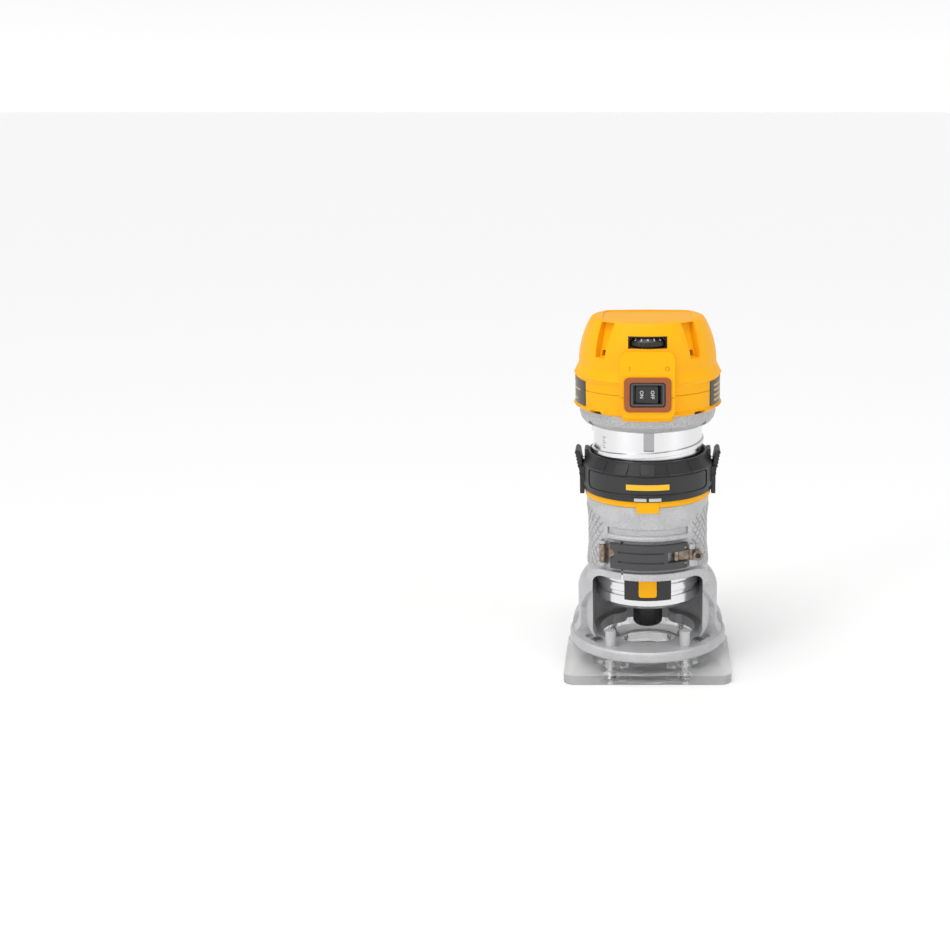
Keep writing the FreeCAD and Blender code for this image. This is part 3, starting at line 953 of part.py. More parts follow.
publish("brush_springs", fuse("brush_spring_set", brush_springs))


# ---------------------------------------------------------------- yellow housing

band_bottom = d.flange_top
split = {"low": (band_bottom - 3, d.seam - d.seam_gap / 2), "high": (d.seam + d.seam_gap / 2, d.cap_top + 5)}
band_foot = d.band_bore - 4.6
band_outline = [
    (d.flange_radius + 0.1, band_bottom), (d.band_radius, band_bottom + 0.6), (d.band_ridge, band_bottom + 2.2),
    (d.band_radius, band_bottom + 3.4), (d.band_radius, split["low"][1]), (d.band_bore, split["low"][1]),
    (d.band_bore, band_bottom + 2), (band_foot, band_bottom + 2), (band_foot, band_bottom)]
cap_inner = d.cap_waist - d.cap_wall
dome_edge = d.cap_edge_radius - 3
dome_start = d.cap_edge_z + 2.1
dome_rise = d.cap_top - dome_start
dome_radius = (dome_edge * dome_edge + dome_rise * dome_rise) / (2 * dome_rise)
cap_outline = [
    (d.band_radius, split["high"][0]), (d.band_radius, d.seam + 5.9), (d.band_ridge - 0.3, d.seam + 8),
    (d.cap_waist + 0.5, d.cap_waist_z - 1.3), (d.cap_waist, d.cap_waist_z),
    (d.cap_edge_radius, d.cap_edge_z, 55, 1), (dome_edge, dome_start, 3.6, 1), (0, d.cap_top, dome_radius, 1),
    (0, d.cap_top - d.cap_wall - 0.7), (d.cap_edge_radius - 8, d.cap_top - d.cap_wall - 0.7),
    (d.cap_edge_radius - 5, d.cap_edge_z - 6.8), (cap_inner, d.cap_waist_z + 4), (cap_inner, d.cap_waist_z - 3),
    (d.band_bore, d.cap_waist_z - 5), (d.band_bore, split["high"][0])]

# The switch boss leans back over the switch, and the seam divides it like the shells.
boss_half = d.boss_width / 2
boss_block = rounded_front("boss_block", boss_half, (-d.boss_front, -cap_inner + 2), (d.boss_bottom, d.boss_top),
                           d.boss_corner)
LEAN_REACH = 20
lean_z = d.boot_z + d.boot_height / 2 + 1.5
lean_turn = DIMENSIONS["boss_lean"]
lean_tool = box("lean_tool", (0, FAR), (0, LEAN_REACH), (0, FAR))
lean_tool.Placement = FreeCAD.Placement(FreeCAD.Vector(0, 0, 0), FreeCAD.Rotation(FreeCAD.Vector(1, 0, 0), -lean_turn))
bind(lean_tool, Placement__Base__x=-FAR / 2,
     Placement__Base__y=-d.boss_front - LEAN_REACH * math.cos(math.radians(lean_turn)),
     Placement__Base__z=lean_z + LEAN_REACH * math.sin(math.radians(lean_turn)))
boss = cut("boss_leaning", boss_block, [lean_tool])
boss_parts = {level: common(f"boss_{level}", [boss, box(f"boss_split_{level}", (-FAR, FAR), (-FAR, 0), split[level])])
              for level in split}
bib_half = d.boss_width / 2 - 1
bib = common("bib", [
    tube("bib_ring", d.band_radius + 0.6, d.flange_radius + 0.15, (band_bottom - 1.8, band_bottom + 3)),
    box("bib_front", (-bib_half, bib_half), front_half, (band_bottom - 3, band_bottom + 3))])
screw_top = d.seam + 14
low_pillars = [rod(f"low_pillar_{angle}", d.pillar_radius, (band_bottom, split["low"][1]), *screw_places[angle])
               for angle in HOUSING_SCREWS]
high_pillars = [rod(f"high_pillar_{angle}", d.pillar_radius - 1, (split["high"][0], screw_top + 2),
                    *polar(d.housing_screw_circle - 0.2, angle)) for angle in HOUSING_SCREWS]
pillar_ways = [rod(f"pillar_way_{angle}", screw_way_radius, (band_bottom - 1, screw_top), *screw_places[angle])
               for angle in HOUSING_SCREWS]
boot_span = (d.boot_z - d.boot_height / 2, d.boot_z + d.boot_height / 2)
boot_way = rounded_front("boot_way", d.boot_width / 2, (-FAR, 13.4 - d.boss_front), boot_span, 3)
EXHAUST_WIDTH = 9
exhausts = []
for angle in (-46, -134, 46, 134, -20, -160, 20, 160):
    slot = box(f"exhaust_{angle}", (0, 12), (0, EXHAUST_WIDTH), (0, 2.5))
    slot.Placement = FreeCAD.Placement(FreeCAD.Vector(0, 0, 0), FreeCAD.Rotation(angle, 0, 0))
    x, y = polar(band_foot - 1, angle)
    side_x, side_y = polar(EXHAUST_WIDTH / 2, angle - 90)
    bind(slot, Placement__Base__x=x + side_x, Placement__Base__y=y + side_y, Placement__Base__z=band_bottom - 0.1)
    exhausts.append(slot)
pillar_inner_limit = rod("pillar_limit", d.band_radius - 0.4, (band_bottom, d.cap_top))
low_band = fuse("low_band_solid", [turned("low_band_turned", band_outline), boss_parts["low"], bib]
                + [common("low_pillars_in", [fuse("low_pillars", low_pillars), pillar_inner_limit])])
publish("lower_band", cut("lower_band_body", low_band, [boot_way] + pillar_ways + exhausts))


def scoop_wedge(name, azimuth, low, high, bottom, height):
    """A block on the cap's side. Each end is (width, inner distance, outer distance) from the axis."""
    item = doc.addObject("Part::Wedge", name)
    bind(item, Xmin=low[0] / -2, Xmax=low[0] / 2, Zmin=low[1], Zmax=low[2], Ymin=0, Ymax=height,
         X2min=high[0] / -2, X2max=high[0] / 2, Z2min=high[1], Z2max=high[2])
    place(item, 0, 0, bottom)
    turn = FreeCAD.Rotation(FreeCAD.Vector(0, 0, 1), azimuth + 90) * FreeCAD.Rotation(FreeCAD.Vector(1, 0, 0), 90)
    item.Placement = FreeCAD.Placement(item.Placement.Base, turn)
    return item


low_floor = d.cap_waist - d.scoop_depth
high_floor = d.cap_edge_radius - d.scoop_depth
scoop_bottom = d.cap_waist_z + 7
scoop_backs, scoop_tools = [], []
for angle in (-47, -133, 47, 133):
    scoop_backs.append(scoop_wedge(
        f"scoop_back_{angle}", angle, (d.scoop_low_width + 5, low_floor - 2, low_floor + 1),
        (d.scoop_high_width + 5, high_floor - 2, high_floor + 1), scoop_bottom - 1.5, d.scoop_height - 0.5))
    scoop_tools.append(scoop_wedge(
        f"scoop_cut_{angle}", angle, (d.scoop_low_width, low_floor, low_floor + FAR),
        (d.scoop_high_width, high_floor, high_floor + FAR), scoop_bottom, d.scoop_height))
    scoop_tools.append(scoop_wedge(
        f"scoop_hole_{angle}", angle, (d.scoop_low_width - 2.4, low_floor - 8, low_floor + 1),
        (d.scoop_low_width - 2.4, low_floor - 8, low_floor + 1), scoop_bottom + 0.6, as_size(3.4)))
dial_span = (d.dial_z - d.dial_window_height / 2, d.dial_z + d.dial_window_height / 2)
dial_y = d.dial_radius - d.dial_front
dial_way = box("dial_way", (-d.dial_window / 2, d.dial_window / 2), (-FAR, dial_y - 6), dial_span)
dial_room = rod("dial_room", d.dial_radius + d.dial_gap, (dial_span[0] + 0.6, dial_span[1] - 0.6), 0, dial_y)
recess_face = d.cap_top - d.top_recess_depth
recess_x = d.recess_half_width - d.recess_corner
recess_y = (d.recess_corner - d.recess_front, d.recess_back - d.recess_corner)
recess_span = (recess_face, d.cap_top + OVERRUN)
recess_tools = [
    box("recess_long", (-recess_x, recess_x), (-d.recess_front, d.recess_back), recess_span),
    box("recess_wide", (-d.recess_half_width, d.recess_half_width), recess_y, recess_span)]
recess_tools += [rod(f"recess_corner_{side}_{end}", d.recess_corner, recess_span, side * recess_x, recess_y[end])
                 for side in (1, -1) for end in (0, 1)]
slope_turn = DIMENSIONS["rear_slope"]
slope_tool = box("slope_tool", (0, FAR * 2), (0, FAR), (0, LEAN_REACH))
slope_tool.Placement = FreeCAD.Placement(FreeCAD.Vector(0, 0, 0), FreeCAD.Rotation(FreeCAD.Vector(1, 0, 0), -slope_turn))
bind(slope_tool, Placement__Base__x=-FAR, Placement__Base__y=d.rear_slope_start, Placement__Base__z=d.cap_top)
inlet_start = d.cap_waist - 5.1
inlet_boss = lying_rod("inlet_boss", d.inlet_radius + 2.4, 8, (0, inlet_start, d.inlet_z), TO_BACK)
inlet_way = lying_rod("inlet_way", d.inlet_radius, 30, (0, inlet_start - 8, d.inlet_z), TO_BACK)
cap_solid = fuse("cap_solid", [turned("cap_turned", cap_outline), boss_parts["high"], inlet_boss]
                 + high_pillars + scoop_backs)
cap_tools = [boot_way, dial_way, dial_room, inlet_way, slope_tool] + pillar_ways + scoop_tools + recess_tools
publish("top_cap", cut("top_cap_body", cap_solid, cap_tools))
gland_solid = fuse("cord_gland_solid", [
    lying_rod("gland_barrel", d.inlet_radius, d.inlet_length, (0, inlet_start - 1, d.inlet_z), TO_BACK),
    lying_rod("gland_lip", d.inlet_radius + 1.2, 1.6, (0, inlet_start + 8, d.inlet_z), TO_BACK)])
gland_way = lying_rod("gland_way", d.inlet_bore, 40, (0, inlet_start - 8, d.inlet_z), TO_BACK)
publish("cord_gland", cut("cord_gland_body", gland_solid, [gland_way]))
housing_screws = []
for angle, (x, y) in screw_places.items():
    screw_solid = fuse(f"housing_screw_solid_{angle}", [
        rod(f"housing_screw_head_{angle}", d.housing_screw_head, (screw_seat_z - 2.2, screw_seat_z), x, y),
        rod(f"housing_screw_shank_{angle}", d.housing_screw_radius, (screw_seat_z, screw_top - 1), x, y)])
    drive_slot = box(f"housing_screw_slot_{angle}", (x - 2.2, x + 2.2), (y - 0.4, y + 0.4),
                     (screw_seat_z - 2.6, screw_seat_z - 1.2))
    housing_screws.append(cut(f"housing_screw_{angle}", screw_solid, [drive_slot]))
publish("housing_screws", fuse("housing_screw_set", housing_screws))
plate_z = (band_bottom + 3.7, d.seam + 5.5)
for side, word in ((1, "right"), (-1, "left")):
    publish(f"rating_plate_{word}", common(f"rating_plate_{word}_body", [
        tube(f"rating_ring_{word}", d.band_radius + 0.5, d.band_radius, plate_z),
        box(f"rating_side_{word}", beside(side, d.can_radius - 4.5, FAR), (-24, 24), plate_z)]))


# ---------------------------------------------------------------- switch and speed dial

boot_front = d.boss_front + d.boot_lip
opening_half = d.boot_opening / 2
switch_span = (d.boot_z - d.switch_height / 2, d.boot_z + d.switch_height / 2)
boot_block = rounded_front("boot_block", d.boot_width / 2, (-boot_front, 9 - d.boss_front), boot_span, 3)
boot_opening = rounded_front("boot_opening_tool", opening_half, (-FAR, -d.can_radius + 14.5), switch_span, 2)
publish("switch_boot", cut("switch_boot_body", boot_block, [boot_opening]))
rocker_room_half = d.rocker_width / 2 + d.rocker_gap + 0.7
rocker_y = 5.4 - d.boss_front
switch_block = rounded_front("switch_block", opening_half, (0.4 - d.boss_front, d.switch_depth - d.boss_front), switch_span, 2)
rocker_z = (d.boot_z - d.rocker_height / 2, d.boot_z + d.rocker_height / 2)
switch_front_step = rounded_front("switch_front_step", opening_half - 2, (-FAR, 1.8 - d.boss_front),
                                  (switch_span[0] + 1.4, switch_span[1] - 1.4), 1)
rocker_room = box("rocker_room", (-rocker_room_half, rocker_room_half), (-FAR, rocker_y + 3.6),
                  (rocker_z[0] - d.rocker_gap, rocker_z[1] + d.rocker_gap))
publish("switch_body", cut("switch_body_body", switch_block, [switch_front_step, rocker_room]))
rocker_half = d.rocker_height / 2
paddle = rounded_front("rocker_paddle", d.rocker_width / 2, (-4.6, 0), (-rocker_half, rocker_half), 1)
rocker = fuse("rocker_body", [paddle, rod("rocker_axle", 3.0, (-rocker_half, rocker_half))])
rocker.Placement = FreeCAD.Placement(FreeCAD.Vector(0, 0, 0), FreeCAD.Rotation(DIMENSIONS["rocker_rest"], 0, 0))
bind(rocker, Placement__Base__x=0, Placement__Base__y=rocker_y, Placement__Base__z=d.boot_z)
publish("switch_rocker", rocker)

wheel_span = (d.dial_z - d.dial_thickness / 2, d.dial_z + d.dial_thickness / 2)
wheel_room = d.dial_radius + d.dial_gap
surround_block = common("dial_surround_block", [
    box("dial_surround_box", (-d.dial_window / 2, d.dial_window / 2), (-FAR, dial_y - 6.1), dial_span),
    rod("dial_surround_limit", d.cap_waist - 4.2, dial_span)])
surround_way = box("dial_surround_way", (0.9 - d.dial_window / 2, d.dial_window / 2 - 0.9), front_half,
                   (dial_span[0] + 0.5, dial_span[1] - 0.5))
surround_room = rod("dial_surround_room", wheel_room, (dial_span[0] + 0.4, dial_span[1] - 0.4), 0, dial_y)
publish("dial_surround", cut("dial_surround_body", surround_block, [surround_way, surround_room]))
PIVOT_RADIUS = 2.0
wheel_bore = PIVOT_RADIUS + 0.05
wheel = turned("wheel_turned", [
    (wheel_bore, wheel_span[0]), (d.dial_radius - 0.8, wheel_span[0]), (d.dial_radius, wheel_span[0] + 0.8),
    (d.dial_radius, d.dial_z + 0.2), (d.dial_radius - 2.4, wheel_span[1]), (wheel_bore, wheel_span[1])])
KNURLS = 30
knurls = []
for index in range(KNURLS):
    x, y = polar(d.dial_radius + 0.15, index * 360 / KNURLS)
    knurls.append(rod(f"dial_knurl_{index}", 0.5, (wheel_span[0] - 1, d.dial_z), x, y))
wheel_cut = cut("wheel_cut", wheel, knurls)
wheel_cut.Placement = FreeCAD.Placement(FreeCAD.Vector(0, 0, 0), FreeCAD.Rotation())
bind(wheel_cut, Placement__Base__y=dial_y)
publish("speed_dial", wheel_cut)
board_top = wheel_span[0] - 4
board_bottom = board_top - 1.6
board_half = d.cap_edge_radius - 19
board_back = dial_y + d.cap_edge_radius + 2
publish("speed_controller", fuse("speed_controller_body", [
    box("controller_board", (-board_half, board_half), (dial_y - 2, board_back), (board_bottom, board_top)),
    box("controller_pot", (-6, 6), (dial_y - 5, dial_y + 6), (board_top, board_top + 3.2)),
    rod("controller_stem", PIVOT_RADIUS, (board_top + 3, wheel_span[1] + 0.4), 0, dial_y),
    rod("controller_capacitor", 5.5, (board_bottom - 12.4, board_bottom), board_half - 9, board_back - 10),
    box("controller_heatsink", (4 - board_half, 14 - board_half), (board_back - 18, board_back - 4),
        (board_bottom - 10.4, board_bottom))]))


# ---------------------------------------------------------------- check and export

doc.recompute()
broken = [item.Name for item in doc.Objects if {"Invalid", "Error"} & set(item.State)]
if broken:
    raise RuntimeError(f"objects failed to build: {broken}")
for item in nodes:
    if item.Shape.isNull() or not item.Shape.isValid() or not item.Shape.Solids:
        raise RuntimeError(f"{item.Label} has no valid solid")
for item in nodes:
    item.Shape.exportStep(f"parts/{item.Label}.step")
print(f"{len(nodes)} sub-parts written")
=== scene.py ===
import json
import math

import bpy
from mathutils import Matrix, Vector


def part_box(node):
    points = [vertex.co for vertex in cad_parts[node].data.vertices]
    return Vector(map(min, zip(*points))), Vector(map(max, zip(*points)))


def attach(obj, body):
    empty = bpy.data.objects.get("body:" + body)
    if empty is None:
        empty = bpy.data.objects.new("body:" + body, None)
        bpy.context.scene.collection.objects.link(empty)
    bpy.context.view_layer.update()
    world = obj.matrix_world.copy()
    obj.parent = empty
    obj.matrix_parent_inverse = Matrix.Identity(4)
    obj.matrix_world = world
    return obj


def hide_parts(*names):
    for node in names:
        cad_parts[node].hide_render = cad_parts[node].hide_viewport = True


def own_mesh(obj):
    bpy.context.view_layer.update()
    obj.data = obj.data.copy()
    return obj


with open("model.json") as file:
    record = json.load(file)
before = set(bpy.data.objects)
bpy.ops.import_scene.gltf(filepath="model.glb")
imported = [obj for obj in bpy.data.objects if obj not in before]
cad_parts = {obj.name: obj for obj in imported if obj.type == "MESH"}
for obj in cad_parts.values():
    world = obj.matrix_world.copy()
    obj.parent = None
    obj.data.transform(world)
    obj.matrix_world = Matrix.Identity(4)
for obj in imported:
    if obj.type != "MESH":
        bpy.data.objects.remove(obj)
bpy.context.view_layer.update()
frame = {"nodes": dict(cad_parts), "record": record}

nodes = frame["nodes"]


# ---- studio -------------------------------------------------------------------------------
# The router stands on a pale sheet that runs off into a white room. Soft panels light it from
# both sides and above, and darker gaps between them give the bare metal its upright bands.

def clear_selection():
    if bpy.context.mode != "OBJECT":
        bpy.ops.object.mode_set(mode="OBJECT")
    bpy.ops.object.select_all(action="DESELECT")


class Value:
    """A socket of a material's nodes, so that shader maths reads as an expression."""

    def __init__(self, finish, socket):
        self.finish = finish
        self.socket = socket

    def maths(self, operation, *given):
        return self.finish.add("ShaderNodeMath", {"operation": operation}, dict(enumerate(given)))

    def __add__(self, other):
        return self.maths("ADD", self, other)

    def __sub__(self, other):
        return self.maths("SUBTRACT", self, other)

    def __rsub__(self, other):
        return self.maths("SUBTRACT", other, self)

    def __mul__(self, other):
        return self.maths("MULTIPLY", self, other)

    def power(self, exponent):
        return self.maths("POWER", self, exponent)

    def absolute(self):
        return self.maths("ABSOLUTE", self)

    def wave(self):
        return self.maths("SINE", self)

    def above(self, limit):
        return self.maths("GREATER_THAN", self, limit)

    def below(self, limit):
        return self.maths("LESS_THAN", self, limit)

    def rise(self, low, high):
        """0 below low, 1 above high, and smooth between them."""
        return self.finish.add("ShaderNodeMapRange", {"interpolation_type": "SMOOTHSTEP"},
                               {"Value": self, "From Min": low, "From Max": high})


class Finish:
    """One material. It holds the node tree and its main shader, and adds nodes to them."""

    def __init__(self, name, colour, roughness, metallic=0.0, **fixed):
        self.material = bpy.data.materials.new(name)
        self.material.use_nodes = True
        self.tree = self.material.node_tree
        self.shader = self.tree.nodes["Principled BSDF"]
        self.feed(self.shader.inputs["Metallic"], metallic)
        self.colour(colour)
        self.roughness(roughness)
        for socket, value in fixed.items():
            self.feed(self.shader.inputs[socket.replace("_", " ")], value)
        coordinates = self.tree.nodes.new("ShaderNodeTexCoord")
        self.place = Value(self, coordinates.outputs["Object"])
        split = self.tree.nodes.new("ShaderNodeSeparateXYZ")
        self.tree.links.new(coordinates.outputs["Object"], split.inputs[0])
        self.x, self.y, self.z = (Value(self, output) for output in split.outputs)

    def feed(self, socket, value):
        if isinstance(value, Value):
            self.tree.links.new(value.socket, socket)
        else:
            socket.default_value = value

    def add(self, kind, settings=None, inputs=None, out=0):
        node = self.tree.nodes.new(kind)
        for name, value in (settings or {}).items():
            setattr(node, name, value)
        for name, value in (inputs or {}).items():
            self.feed(node.inputs[name], value)
        return Value(self, node.outputs[out])

    def filled(self, colour):
        """A colour as a socket takes it: a Value as it is, or three numbers with an alpha of 1."""
        return colour if isinstance(colour, Value) else (*colour, 1)

    def colour(self, value):
        self.feed(self.shader.inputs["Base Color"], self.filled(value))

    def roughness(self, value):
        self.feed(self.shader.inputs["Roughness"], value)

    def blend(self, share, low, high):
        """Between two colours by a share from 0 to 1."""
        return self.add("ShaderNodeMix", {"data_type": "RGBA"},
                        {0: share, 6: self.filled(low), 7: self.filled(high)}, out=2)

    def noise(self, scale, detail=2.0, place=None):
        return self.add("ShaderNodeTexNoise", None,
                        {"Vector": place or self.place, "Scale": scale, "Detail": detail})

    def relief(self, height, depth, edge=0.0):
        """Bumps from a height between 0 and 1, over edges that are softened by a small radius."""
        inputs = {"Height": height, "Distance": depth, "Strength": 1.0}
        if edge:
            inputs["Normal"] = self.add("ShaderNodeBevel", {"samples": 4}, {"Radius": edge})
        self.feed(self.shader.inputs["Normal"], self.add("ShaderNodeBump", None, inputs))

    def coat(self, *names):
        """Gives this material to CAD nodes, by name, or to pieces made here."""
        for name in names:
            item = nodes[name] if isinstance(name, str) else name
            item.data.materials.clear()
            item.data.materials.append(self.material)


STAGE_WIDTH = 60.0
FLOOR_DROP = 0.0002
clear_selection()
bpy.ops.mesh.primitive_plane_add(size=STAGE_WIDTH, location=(0, 0, -FLOOR_DROP))
floor = bpy.context.object
floor.name = "studio_floor"
pale_sheet = Finish("pale_sheet", (0.95, 0.95, 0.95), 0.9, Specular_IOR_Level=0.1)
pale_sheet.coat(floor)

# The room is brightest at the horizon and dims overhead.
HORIZON_LIGHT, OVERHEAD_LIGHT = 1.0, 0.42
DIMS_FROM, DIMS_TO = 0.03, 0.45
world = bpy.data.worlds.new("white_room")
bpy.context.scene.world = world
world.use_nodes = True
sky = world.node_tree
sky.nodes["Background"].inputs["Color"].default_value = (1.0, 1.0, 1.0, 1)
heading = sky.nodes.new("ShaderNodeTexCoord")
split = sky.nodes.new("ShaderNodeSeparateXYZ")
height = sky.nodes.new("ShaderNodeMapRange")
height.inputs["From Min"].default_value = DIMS_FROM
height.inputs["From Max"].default_value = DIMS_TO
height.inputs["To Min"].default_value = HORIZON_LIGHT
height.inputs["To Max"].default_value = OVERHEAD_LIGHT
sky.links.new(heading.outputs["Generated"], split.inputs[0])
sky.links.new(split.outputs["Z"], height.inputs["Value"])
sky.links.new(height.outputs["Result"], sky.nodes["Background"].inputs["Strength"])
bpy.context.scene.view_settings.view_transform = "Standard"


AIM_POINT = Vector((0, 0, 0.12))


def lamp(name, kind, place, power, **settings):
    """A lamp that faces the middle of the router."""
    data = bpy.data.lights.new(name, kind)
    data.energy = power
    for setting, value in settings.items():
        setattr(data, setting, value)
    fitting = bpy.data.objects.new(name, data)
    fitting.location = place
    aim = AIM_POINT - Vector(place)
    fitting.rotation_euler = aim.to_track_quat("-Z", "Y").to_euler()
    bpy.context.scene.collection.objects.link(fitting)


lamp("overhead", "SUN", (-0.25, -0.35, 1.5), 1.75, angle=math.radians(50))
lamp("left_panel", "AREA", (-0.75, -0.75, 0.55), 2.4, shape="RECTANGLE", size=0.35, size_y=0.9)
lamp("right_panel", "AREA", (0.85, -0.55, 0.5), 1.6, shape="RECTANGLE", size=0.3, size_y=0.9)


CARD_DISTANCE, CARD_HEIGHT = 0.8, 0.5
CARD_WIDTH, CARD_TALL = 0.13, 0.5
CARD_HEADINGS = (-38, -142, -5, -175, -78, 118)


def dark_card(name, place, width, height):
    """A grey card out of view, which only shows as a darker band in bare metal."""
    clear_selection()
    bpy.ops.mesh.primitive_plane_add(size=1)
    card = bpy.context.object
    card.name = name
    aim = Vector((0, 0, place[2])) - Vector(place)
    turn = aim.to_track_quat("-Z", "Y").to_matrix().to_4x4()
    card.data.transform(Matrix.Translation(place) @ turn @ Matrix.Diagonal((width, height, 1, 1)))
    card.visible_camera = False
    card.visible_shadow = False
    card.visible_diffuse = False
    card_grey.coat(card)


card_grey = Finish("card_grey", (0.07, 0.07, 0.07), 1.0)
for index, heading in enumerate(CARD_HEADINGS):
    turn = math.radians(heading)
    place = (CARD_DISTANCE * math.cos(turn), CARD_DISTANCE * math.sin(turn), CARD_HEIGHT)
    dark_card(f"dark_card_{index}", place, CARD_WIDTH, CARD_TALL)

CAMERA_DISTANCE = 0.9
CAMERA_HEIGHT = 0.3567
CAMERA_PITCH = 15.51
camera_data = bpy.data.cameras.new("camera")
camera_data.lens = 55.0
camera_data.sensor_width = 36.0
camera_data.shift_x = -0.1818
camera_data.shift_y = 0.0232
camera_data.clip_start = 0.01
camera = bpy.data.objects.new("camera", camera_data)
camera.location = (0, -CAMERA_DISTANCE, CAMERA_HEIGHT)
camera.rotation_euler = (math.radians(90 - CAMERA_PITCH), 0, 0)
bpy.context.scene.collection.objects.link(camera)
bpy.context.scene.camera = camera


# ---- clear sub-base -----------------------------------------------------------------------
# A plate of clear polycarbonate, moulded with spacer studs and polished on both faces. Four
# countersunk screws hold it to the foot of the base casting.

clear_plate = Finish("clear_plate", (1.0, 1.0, 1.0), 0.03, Transmission_Weight=1.0, IOR=1.45)
clear_plate.roughness(clear_plate.noise(220.0).rise(0.3, 0.9) * 0.05 + 0.02)
# Its top face lets more of the floor through than its edges do.
PLATE_FACE_LOW, PLATE_FACE_HIGH = 0.0058, 0.0061
EDGE_ALPHA, FACE_LOSS = 0.78, 0.36
top_face = clear_plate.z.above(PLATE_FACE_LOW) * clear_plate.z.below(PLATE_FACE_HIGH)
clear_plate.feed(clear_plate.shader.inputs["Alpha"], EDGE_ALPHA - top_face * FACE_LOSS)
clear_plate.coat("sub_base", "led_lenses")


# ---- base casting -------------------------------------------------------------------------
# Die-cast alloy with a fine blasted skin, machined inside where the motor slides. Both flanks
# of the barrel carry a pattern of small diamonds to grip it by.

cast_alloy = Finish("cast_alloy", (0.55, 0.55, 0.56), 0.42, metallic=0.3)
grain = cast_alloy.noise(1900.0, 3.0)
speckle = cast_alloy.noise(1500.0, 3.0).rise(0.35, 0.65)
mottle = cast_alloy.noise(90.0, 2.0).rise(0.35, 0.7)
skin = cast_alloy.blend(mottle * 0.3 + speckle * 0.7, (0.43, 0.43, 0.44), (0.6, 0.6, 0.61))
radius = (cast_alloy.x * cast_alloy.x + cast_alloy.y * cast_alloy.y).power(0.5)
MACHINED_RADIUS, MACHINED_FROM = 0.0349, 0.05
machined = radius.below(MACHINED_RADIUS) * cast_alloy.z.above(MACHINED_FROM)
cast_alloy.colour(cast_alloy.blend(machined, skin, (0.5, 0.5, 0.51)))
cast_alloy.relief(grain, 0.0002, edge=0.0007)
cast_alloy.roughness(grain * 0.2 + 0.36)
cast_alloy.coat("base_casting")


SMOOTH_ANGLE = math.radians(35)


def finish_piece(name, body, finish):
    """Names the piece in hand, smooths it, gives it its material and fixes it to its body."""
    piece = bpy.context.object
    piece.name = name
    piece.data.name = name
    bpy.ops.object.transform_apply(location=True, rotation=True, scale=True)
    bpy.ops.object.shade_smooth_by_angle(angle=SMOOTH_ANGLE)
    finish.coat(piece)
    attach(piece, body)
    return piece


def copies(model, name, places):
    """One object made of a copy of the model's mesh at each place. The model is removed."""
    made = []
    for index, place in enumerate(places):
        mesh = model.data.copy()
        mesh.transform(place)
        item = bpy.data.objects.new(f"{name}_{index}", mesh)
        bpy.context.scene.collection.objects.link(item)
        made.append(item)
    bpy.data.objects.remove(model)
    clear_selection()
    for item in made:
        item.select_set(True)
    bpy.context.view_layer.objects.active = made[0]
    bpy.ops.object.join()


# Turns what is drawn flat, facing up, so that it stands and faces the front.
UPRIGHT = Matrix.Rotation(math.radians(90), 4, "X")


def round_place(degrees, radius, height):
    """The place on a cylinder round the spindle axis, with local Z pointing out and local Y up."""
    turn = Matrix.Rotation(math.radians(degrees + 90), 4, "Z") @ UPRIGHT
    heading = math.radians(degrees)
    place = (radius * math.cos(heading), radius * math.sin(heading), height)
    return Matrix.Translation(place) @ turn


GRIP_LOW, GRIP_HIGH = 0.0665, 0.1055
DIAMOND_WIDTH, DIAMOND_TALL, DIAMOND_RISE = 0.0036, 0.0036, 0.00062
DIAMOND_SINK = 0.00004
LEG_REACH = 0.0131
barrel_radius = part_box("base_casting")[1].x - LEG_REACH


FLARE_BELOW, FLARE_ABOVE = 0.0775, 0.096
FOOT_FLARE, TOP_FLARE = 0.0915, 0.107


def barrel_skin(height):
    """The barrel's radius, which flares a little towards its top and towards the legs."""
    return (barrel_radius + max(0.0, FLARE_BELOW - height) * FOOT_FLARE
            + max(0.0, height - FLARE_ABOVE) * TOP_FLARE)


GRIP_REACH = 40.0
TAPER_ABOVE, TOP_TAPER, TOP_LOSS, TOP_CURVE = 0.098, 0.009, 30, 1.6
TAPER_BELOW, FOOT_TAPER, FOOT_LOSS = 0.073, 0.008, 9


def grip_limit(height):
    """How far the grip reaches round each flank, in degrees: less towards its top and bottom."""
    near_top = max(0.0, (height - TAPER_ABOVE) / TOP_TAPER) ** TOP_CURVE * TOP_LOSS
    near_foot = max(0.0, (TAPER_BELOW - height) / FOOT_TAPER) * FOOT_LOSS
    return GRIP_REACH - (near_top + near_foot)


def grip_diamond():
    """One raised diamond: a lozenge drawn up from the skin to a smaller flat top."""
    clear_selection()
    bpy.ops.mesh.primitive_plane_add(size=1)
    bpy.ops.object.mode_set(mode="EDIT")
    bpy.ops.transform.rotate(value=math.radians(45), orient_axis="Z", center_override=(0, 0, 0))
    bpy.ops.transform.resize(value=(DIAMOND_WIDTH, DIAMOND_TALL, 1))
    bpy.ops.mesh.extrude_region_move(TRANSFORM_OT_translate={"value": (0, 0, DIAMOND_RISE)})
    bpy.ops.transform.resize(value=(0.5, 0.5, 1))
    bpy.ops.object.mode_set(mode="OBJECT")
    return bpy.context.object


STEP_UP, STEP_ROUND = 0.00285, 8.6
COLUMNS = range(-5, 6)
for side, flank in ((0, "right"), (180, "left")):
    places = []
    rows = int((GRIP_HIGH - GRIP_LOW) / STEP_UP)
    for row in range(rows + 1):
        height = GRIP_LOW + row * STEP_UP
        limit = grip_limit(height)
        for column in COLUMNS:
            heading = (column + 0.5 * (row % 2)) * STEP_ROUND
            if abs(heading) <= limit:
                foot = barrel_skin(height) - DIAMOND_SINK
                places.append(round_place(side + heading, foot, height))
    copies(grip_diamond(), f"grip_{flank}", places)
    finish_piece(f"grip_{flank}", "base", cast_alloy)


# ---- screws and pins ----------------------------------------------------------------------
# Zinc-plated steel screws hold the clear plate and the housing. The pins, shafts, springs,
# bearings and cores are ground steel, with faint turning marks.

